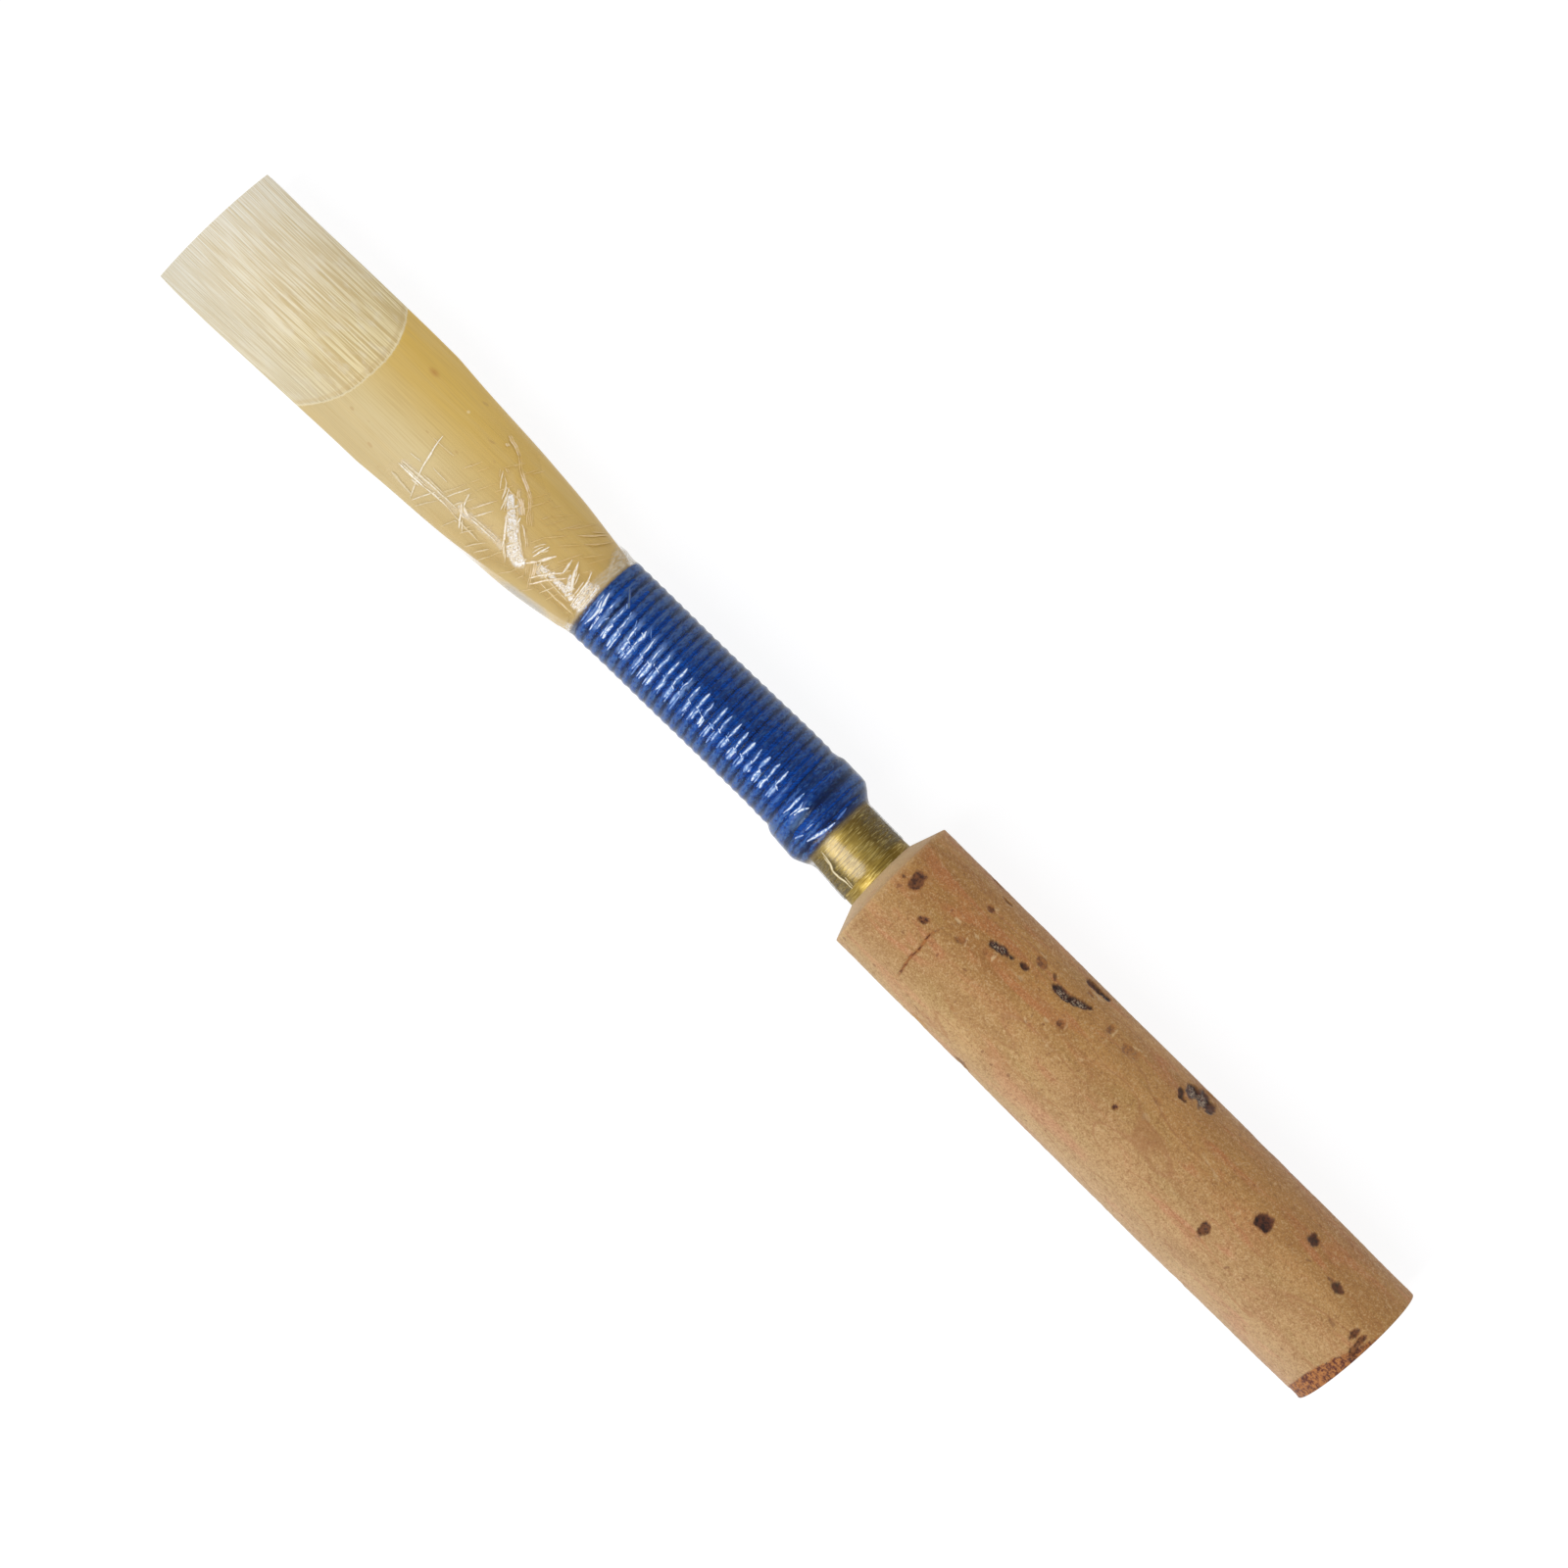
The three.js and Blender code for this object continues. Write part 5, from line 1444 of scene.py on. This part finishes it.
def film_mesh(name):
    angles = uneven_angles(*FILM_SIDES)
    # Both edges are cut unevenly.
    uneven = 0.12 * grain(grid_of(np.cos(angles), np.sin(angles), 0.0), 1.6, 7)
    on_cane_shares = np.linspace(0, 1, FILM_ROWS_ON_CANE)
    over_thread = np.arange(THROAT + 0.03, 40.3, FILM_ROW_STEP)
    on_neck_shares = np.linspace(0, 1, FILM_ROWS_ON_NECK)
    rows = [lerp(FILM_START + uneven, THROAT - 0.02, share) for share in on_cane_shares]
    rows += [np.full_like(angles, station) for station in over_thread]
    rows += [lerp(40.32, FILM_END + uneven, share) for share in on_neck_shares]
    station = np.array(rows)
    angles = np.broadcast_to(angles, station.shape)
    cosine = np.cos(angles)
    top = np.sin(angles)
    width, height = film_outline(station, angles)
    y = width * cosine + sway(station)
    ripple = turn_ripple(station, angles)
    on_thread = over_thread_share(station)
    on_cane = 1 - smooth(station, THROAT - 0.1, THROAT)
    solid = grid_of(station, width * cosine, height * top)
    rough = grain(solid, (2.4, 1.2, 1.2), 4)
    fine = grain(solid, (9.0, 5.0, 5.0), 6)
    relief = groove_relief(station, angles, ripple) + 0.004 * rough + 0.003 * fine
    gathered = smooth(station, THROAT - 1.6, THROAT - 0.2) * on_cane
    relief += 0.015 * gathered * np.sin(angles * 23 + 2 * rough)
    relief += FILM_WALL
    full = np.where(station < THROAT, fullness(station), 1.0)
    outer = rings(station, width + relief, height + relief, angles, full)
    # The inside is plain, so it has fewer rings than the outside.
    picked = np.arange(0, len(rows), FILM_ROWS_PER_INNER_ROW)
    pick = np.unique(np.concatenate([picked, [len(rows) - 1]]))
    inset = 0.06 * on_thread[pick]
    inner = rings(station[pick], width[pick] - inset, height[pick] - inset, angles[pick], full[pick])
    mesh = wall_mesh(name, outer, inner, True)
    crease_with_highlight = film_creases_and_highlight(station, angles, y, ripple, rough, fine)
    veil = film_veil(station, angles, y, ripple, on_cane)
    marks = listed(grid_of(crease_with_highlight, veil, 0.0), grid_of(0.0, 0.0, np.ones(inner.shape[:2])))
    store_vectors(mesh, "film_marks", np.clip(marks, 0, 1))
    # The sliver is the strip beside the cane's edge, where the film stands off it. At its start it is
    # painted in the lit cane's colour over the shaded edge of the cane.
    sliver = smooth(-cosine, 0.45, 1.0) * smooth(station, 18.0, 22.0) * on_cane
    sliver = sliver * smooth(top, -0.25, 0.15) * (1 - 0.3 * smooth(station, 23.2, 24.8))
    ridge = ripple * on_thread + sliver
    places = listed(grid_of(station, y, ridge), grid_of(station[pick], angles[pick], 0.0))
    store_vectors(mesh, "film_place", places)
    return mesh


def film_skin(station, y):
    """The points of the film's upper side over stations and Ys."""
    cosine = np.zeros_like(station)
    for attempt in range(4):
        angles = np.arccos(cosine)
        width, height = film_outline(station, angles)
        relief = groove_relief(station, angles, turn_ripple(station, angles))
        cosine = np.clip((y - sway(station)) / (width + FILM_WALL + relief), -0.99, 0.99)
    full = np.where(station < THROAT, fullness(station), 1.0)
    return grid_of(station, y, (height + FILM_WALL + relief) * np.sqrt(1 - cosine ** 2) ** full)


# A wrinkle's section: six points with their way across, their height and how far out they count.
WRINKLE_ACROSS = np.array([-1, -0.5, 0, 0.5, 1, 0])
WRINKLE_LIFTS = np.array([0.011, 0.017, 0.019, 0.017, 0.011, 0.003])
WRINKLE_EDGES = np.array([1, 0.5, 0, 0.5, 1, 1.5])


def wrinkle_and_highlight_lines():
    """The points, width, strength, warmth and milkiness of every wrinkle and painted highlight."""
    on_cane = [stroke(row, 3) for row in FILM_STROKES]
    on_thread = [stroke(row, 3) for row in THREAD_STROKES]
    # The warm ones are double.
    beside = [
        (line + (0.05, 0.075), 0.8 * wide, 0.8 * strength, warmth)
        for line, wide, strength, warmth in on_cane
        if warmth >= 0.5
    ]
    plain = on_cane + beside + on_thread + painted_turn_highlights() + faint_scratches()
    return [(*row, 0.0) for row in plain] + [(*row, 0.6) for row in crumpled_lines()]


def wrinkle_and_highlight_mesh(name):
    """Thin ridges with pointed ends along the lines in the film and the painted highlights, each a closed
    shell.
    """
    points = []
    quads = []
    places = []
    tones = []
    first = 0
    for number, (line, wide, *tone) in enumerate(wrinkle_and_highlight_lines()):
        knots = np.array(line)
        lengths = line_lengths(knots)
        count = max(7, int(lengths[-1] / WRINKLE_STEP))
        along = np.linspace(0, lengths[-1], count)
        middle = on_line(along, knots, lengths)
        middle[:, 1:-1] = (middle[:, :-2] + 2 * middle[:, 1:-1] + middle[:, 2:]) / 4
        uneven = grain(grid_of(along * 3.0, number * 3.7, 0.0), 1.0, 12)
        way = np.gradient(middle, axis=1)
        way /= np.hypot(*way)
        square = np.stack([-way[1], way[0]])
        middle = middle + square * WRINKLE_WAVER * uneven
        pointed = np.sin(math.pi * (0.03 + 0.94 * along / lengths[-1])) ** 0.6
        half = 0.6 * wide * pointed * (1 + 0.5 * uneven)
        station, y = middle[:, :, None] + square[:, :, None] * half[:, None] * WRINKLE_ACROSS
        shell = film_skin(station, y)
        shell[:, :, 2] += WRINKLE_LIFTS
        ring = numbered(shell, first)
        quads += [quad_band(a, b, True) for a, b in zip(ring, ring[1:])]
        quads += [end[[[0, 1, 2, 3], [0, 3, 4, 5]]] for end in (ring[0], ring[-1][::-1])]
        points.append(shell)
        places.append(grid_of(WRINKLE_EDGES, station, y))
        tones.append(np.broadcast_to(tone, shell.shape))
        first += ring.size
    mesh = mesh_of(name, listed(*points), np.concatenate(quads))
    store_vectors(mesh, "wrinkle_and_highlight_place", listed(*places))
    store_vectors(mesh, "wrinkle_and_highlight_tone", listed(*tones))
    whole = bmesh.new()
    whole.from_mesh(mesh)
    bmesh.ops.recalc_face_normals(whole, faces=whole.faces)
    whole.to_mesh(mesh)
    whole.free()
    return mesh


# The pieces.
cane = cane_finish()
brass = brass_finish()
cork = cork_finish()
thread = thread_finish()
film = film_finish()
wrinkled_and_highlighted = wrinkle_and_highlight_finish()
strand = strand_tree()
first_layer = strand_mesh("winding", strand, winding_path(), thread, STRAND_WIDTH, STRAND_HEIGHT)
hitches = second_layer_path()
second_layer = strand_mesh("tie_off_turns", strand, hitches, thread, SECOND_LAYER_WIDTH, SECOND_LAYER_HEIGHT)

show_piece("cane_upper", blade_mesh("cane_upper", 1), cane, "cane", 35, "upper_blade")
show_piece("cane_lower", blade_mesh("cane_lower", -1), cane, "cane", 35, "lower_blade")
show_piece("staple_tube", staple_mesh("staple_tube"), brass, "brass", 30, "staple")
show_piece("cork_sleeve", cork_mesh("cork_sleeve"), cork, "cork", 60, "cork")
show_piece("winding", first_layer, thread, "thread", 70, "thread_winding")
show_piece("tie_off_turns", second_layer, thread, "thread", 70, "thread_tie_off")
show_piece("film_sleeve", film_mesh("film_sleeve"), film, "film", 80, "sealing_film")
show_piece("film_wrinkles_and_highlights", wrinkle_and_highlight_mesh("film_wrinkles_and_highlights"), wrinkled_and_highlighted, "film", 80)

# The studio's sizes in metres, its light and its camera.
FLOOR_REACH = 1.2
FLOOR_DEPTH = 0.00002
FLOOR_GREY = (0.8, 0.8, 0.8, 1)
FLOOR_SHADE = (0.22, 0.22, 0.23, 1)
FLOOR_GLOW = 0.86
SKY_LOW = 1.04
SKY_HIGH = 0.38
KEY_SIZE = (0.12, 0.42)
KEY_PLACE = (0.0, -0.265, 0.339)
KEY_POWER = 0.98
CAMERA_LENS = 92.8
CAMERA_PLACE = (0.0164, 0.0, 0.1835)
CAMERA_TARGET = (0.00068, -0.00006, AXIS_HEIGHT * MM)
CAMERA_ROLL = 44.41


# The floor glows a little where it is seen, which keeps it white and leaves the soft shadow on it.
def floor_finish():
    finish = Finish("white_floor")
    rays = finish.tree.nodes.new("ShaderNodeLightPath").outputs
    seen = finish.plus(rays["Is Camera Ray"], rays["Is Glossy Ray"])
    seen = finish.plus(seen, rays["Is Transmission Ray"], clamp=True)
    lit = finish.add("ShaderNodeBsdfDiffuse", {"Color": FLOOR_GREY})
    shadowed = finish.add("ShaderNodeBsdfDiffuse", {"Color": FLOOR_SHADE})
    glow = finish.add("ShaderNodeEmission", {"Strength": FLOOR_GLOW})
    both = finish.add("ShaderNodeAddShader", {0: shadowed, 1: glow})
    chosen = finish.add("ShaderNodeMixShader", {0: seen, 1: lit, 2: both})
    finish.tree.nodes.remove(finish.shader)
    finish.feed(finish.tree.nodes["Material Output"].inputs["Surface"], chosen)
    return finish.material


floor_mesh = bpy.data.meshes.new("floor")
ways = ((-1, -1), (1, -1), (1, 1), (-1, 1))
corners = [(x * FLOOR_REACH, y * FLOOR_REACH, -FLOOR_DEPTH) for x, y in ways]
floor_mesh.from_pydata(corners, [], [(0, 1, 2, 3)])
floor_mesh.materials.append(floor_finish())
floor = put("floor", floor_mesh)

# The surroundings are paler low down, and plain white behind the reed.
world = bpy.data.worlds.new("surroundings")
bpy.context.scene.world = world
world.use_nodes = True
sky = Nodes(world.node_tree)
upward = sky.split(sky.add("ShaderNodeTexCoord", {}, "Generated"))[2]
light = sky.add("ShaderNodeMapRange", {"Value": upward, "To Min": SKY_LOW, "To Max": SKY_HIGH}, "Result")
seen = sky.add("ShaderNodeLightPath", {}, "Is Camera Ray")
strength = sky.add("ShaderNodeMix", {"Factor": seen, "A": light, "B": 1.0}, "Result")
background = world.node_tree.nodes["Background"].inputs
background["Color"].default_value = (1, 1, 1, 1)
sky.feed(background["Strength"], strength)

# A soft key light from one side.
key_data = bpy.data.lights.new("key", "AREA")
key_data.shape = "RECTANGLE"
key_data.size, key_data.size_y = KEY_SIZE
key_data.energy = KEY_POWER
key = put("key", key_data)
key.location = KEY_PLACE
key.rotation_euler = (-key.location).to_track_quat("-Z", "Y").to_euler()
key.visible_camera = False

# The camera stands above the middle of the reed, with the reed slanting down to the right.
camera_data = bpy.data.cameras.new("camera")
camera_data.lens = CAMERA_LENS
camera_data.sensor_width = 36
camera_data.clip_start = 0.01
camera_data.clip_end = 10
camera = put("camera", camera_data)
forward = (Vector(CAMERA_TARGET) - Vector(CAMERA_PLACE)).normalized()
across_view = forward.cross(Vector((0, 1, 0))).normalized()
up_view = across_view.cross(forward)
roll = math.radians(CAMERA_ROLL)
right = across_view * math.cos(roll) + up_view * math.sin(roll)
up = up_view * math.cos(roll) - across_view * math.sin(roll)
turned = Matrix((right, up, -forward)).transposed()
camera.matrix_world = Matrix.Translation(CAMERA_PLACE) @ turned.to_4x4()
bpy.context.scene.camera = camera

bpy.context.scene.view_settings.view_transform = "Standard"

bpy.context.view_layer.update()


def plain(box):
    return [[float(value) for value in corner] for corner in box]
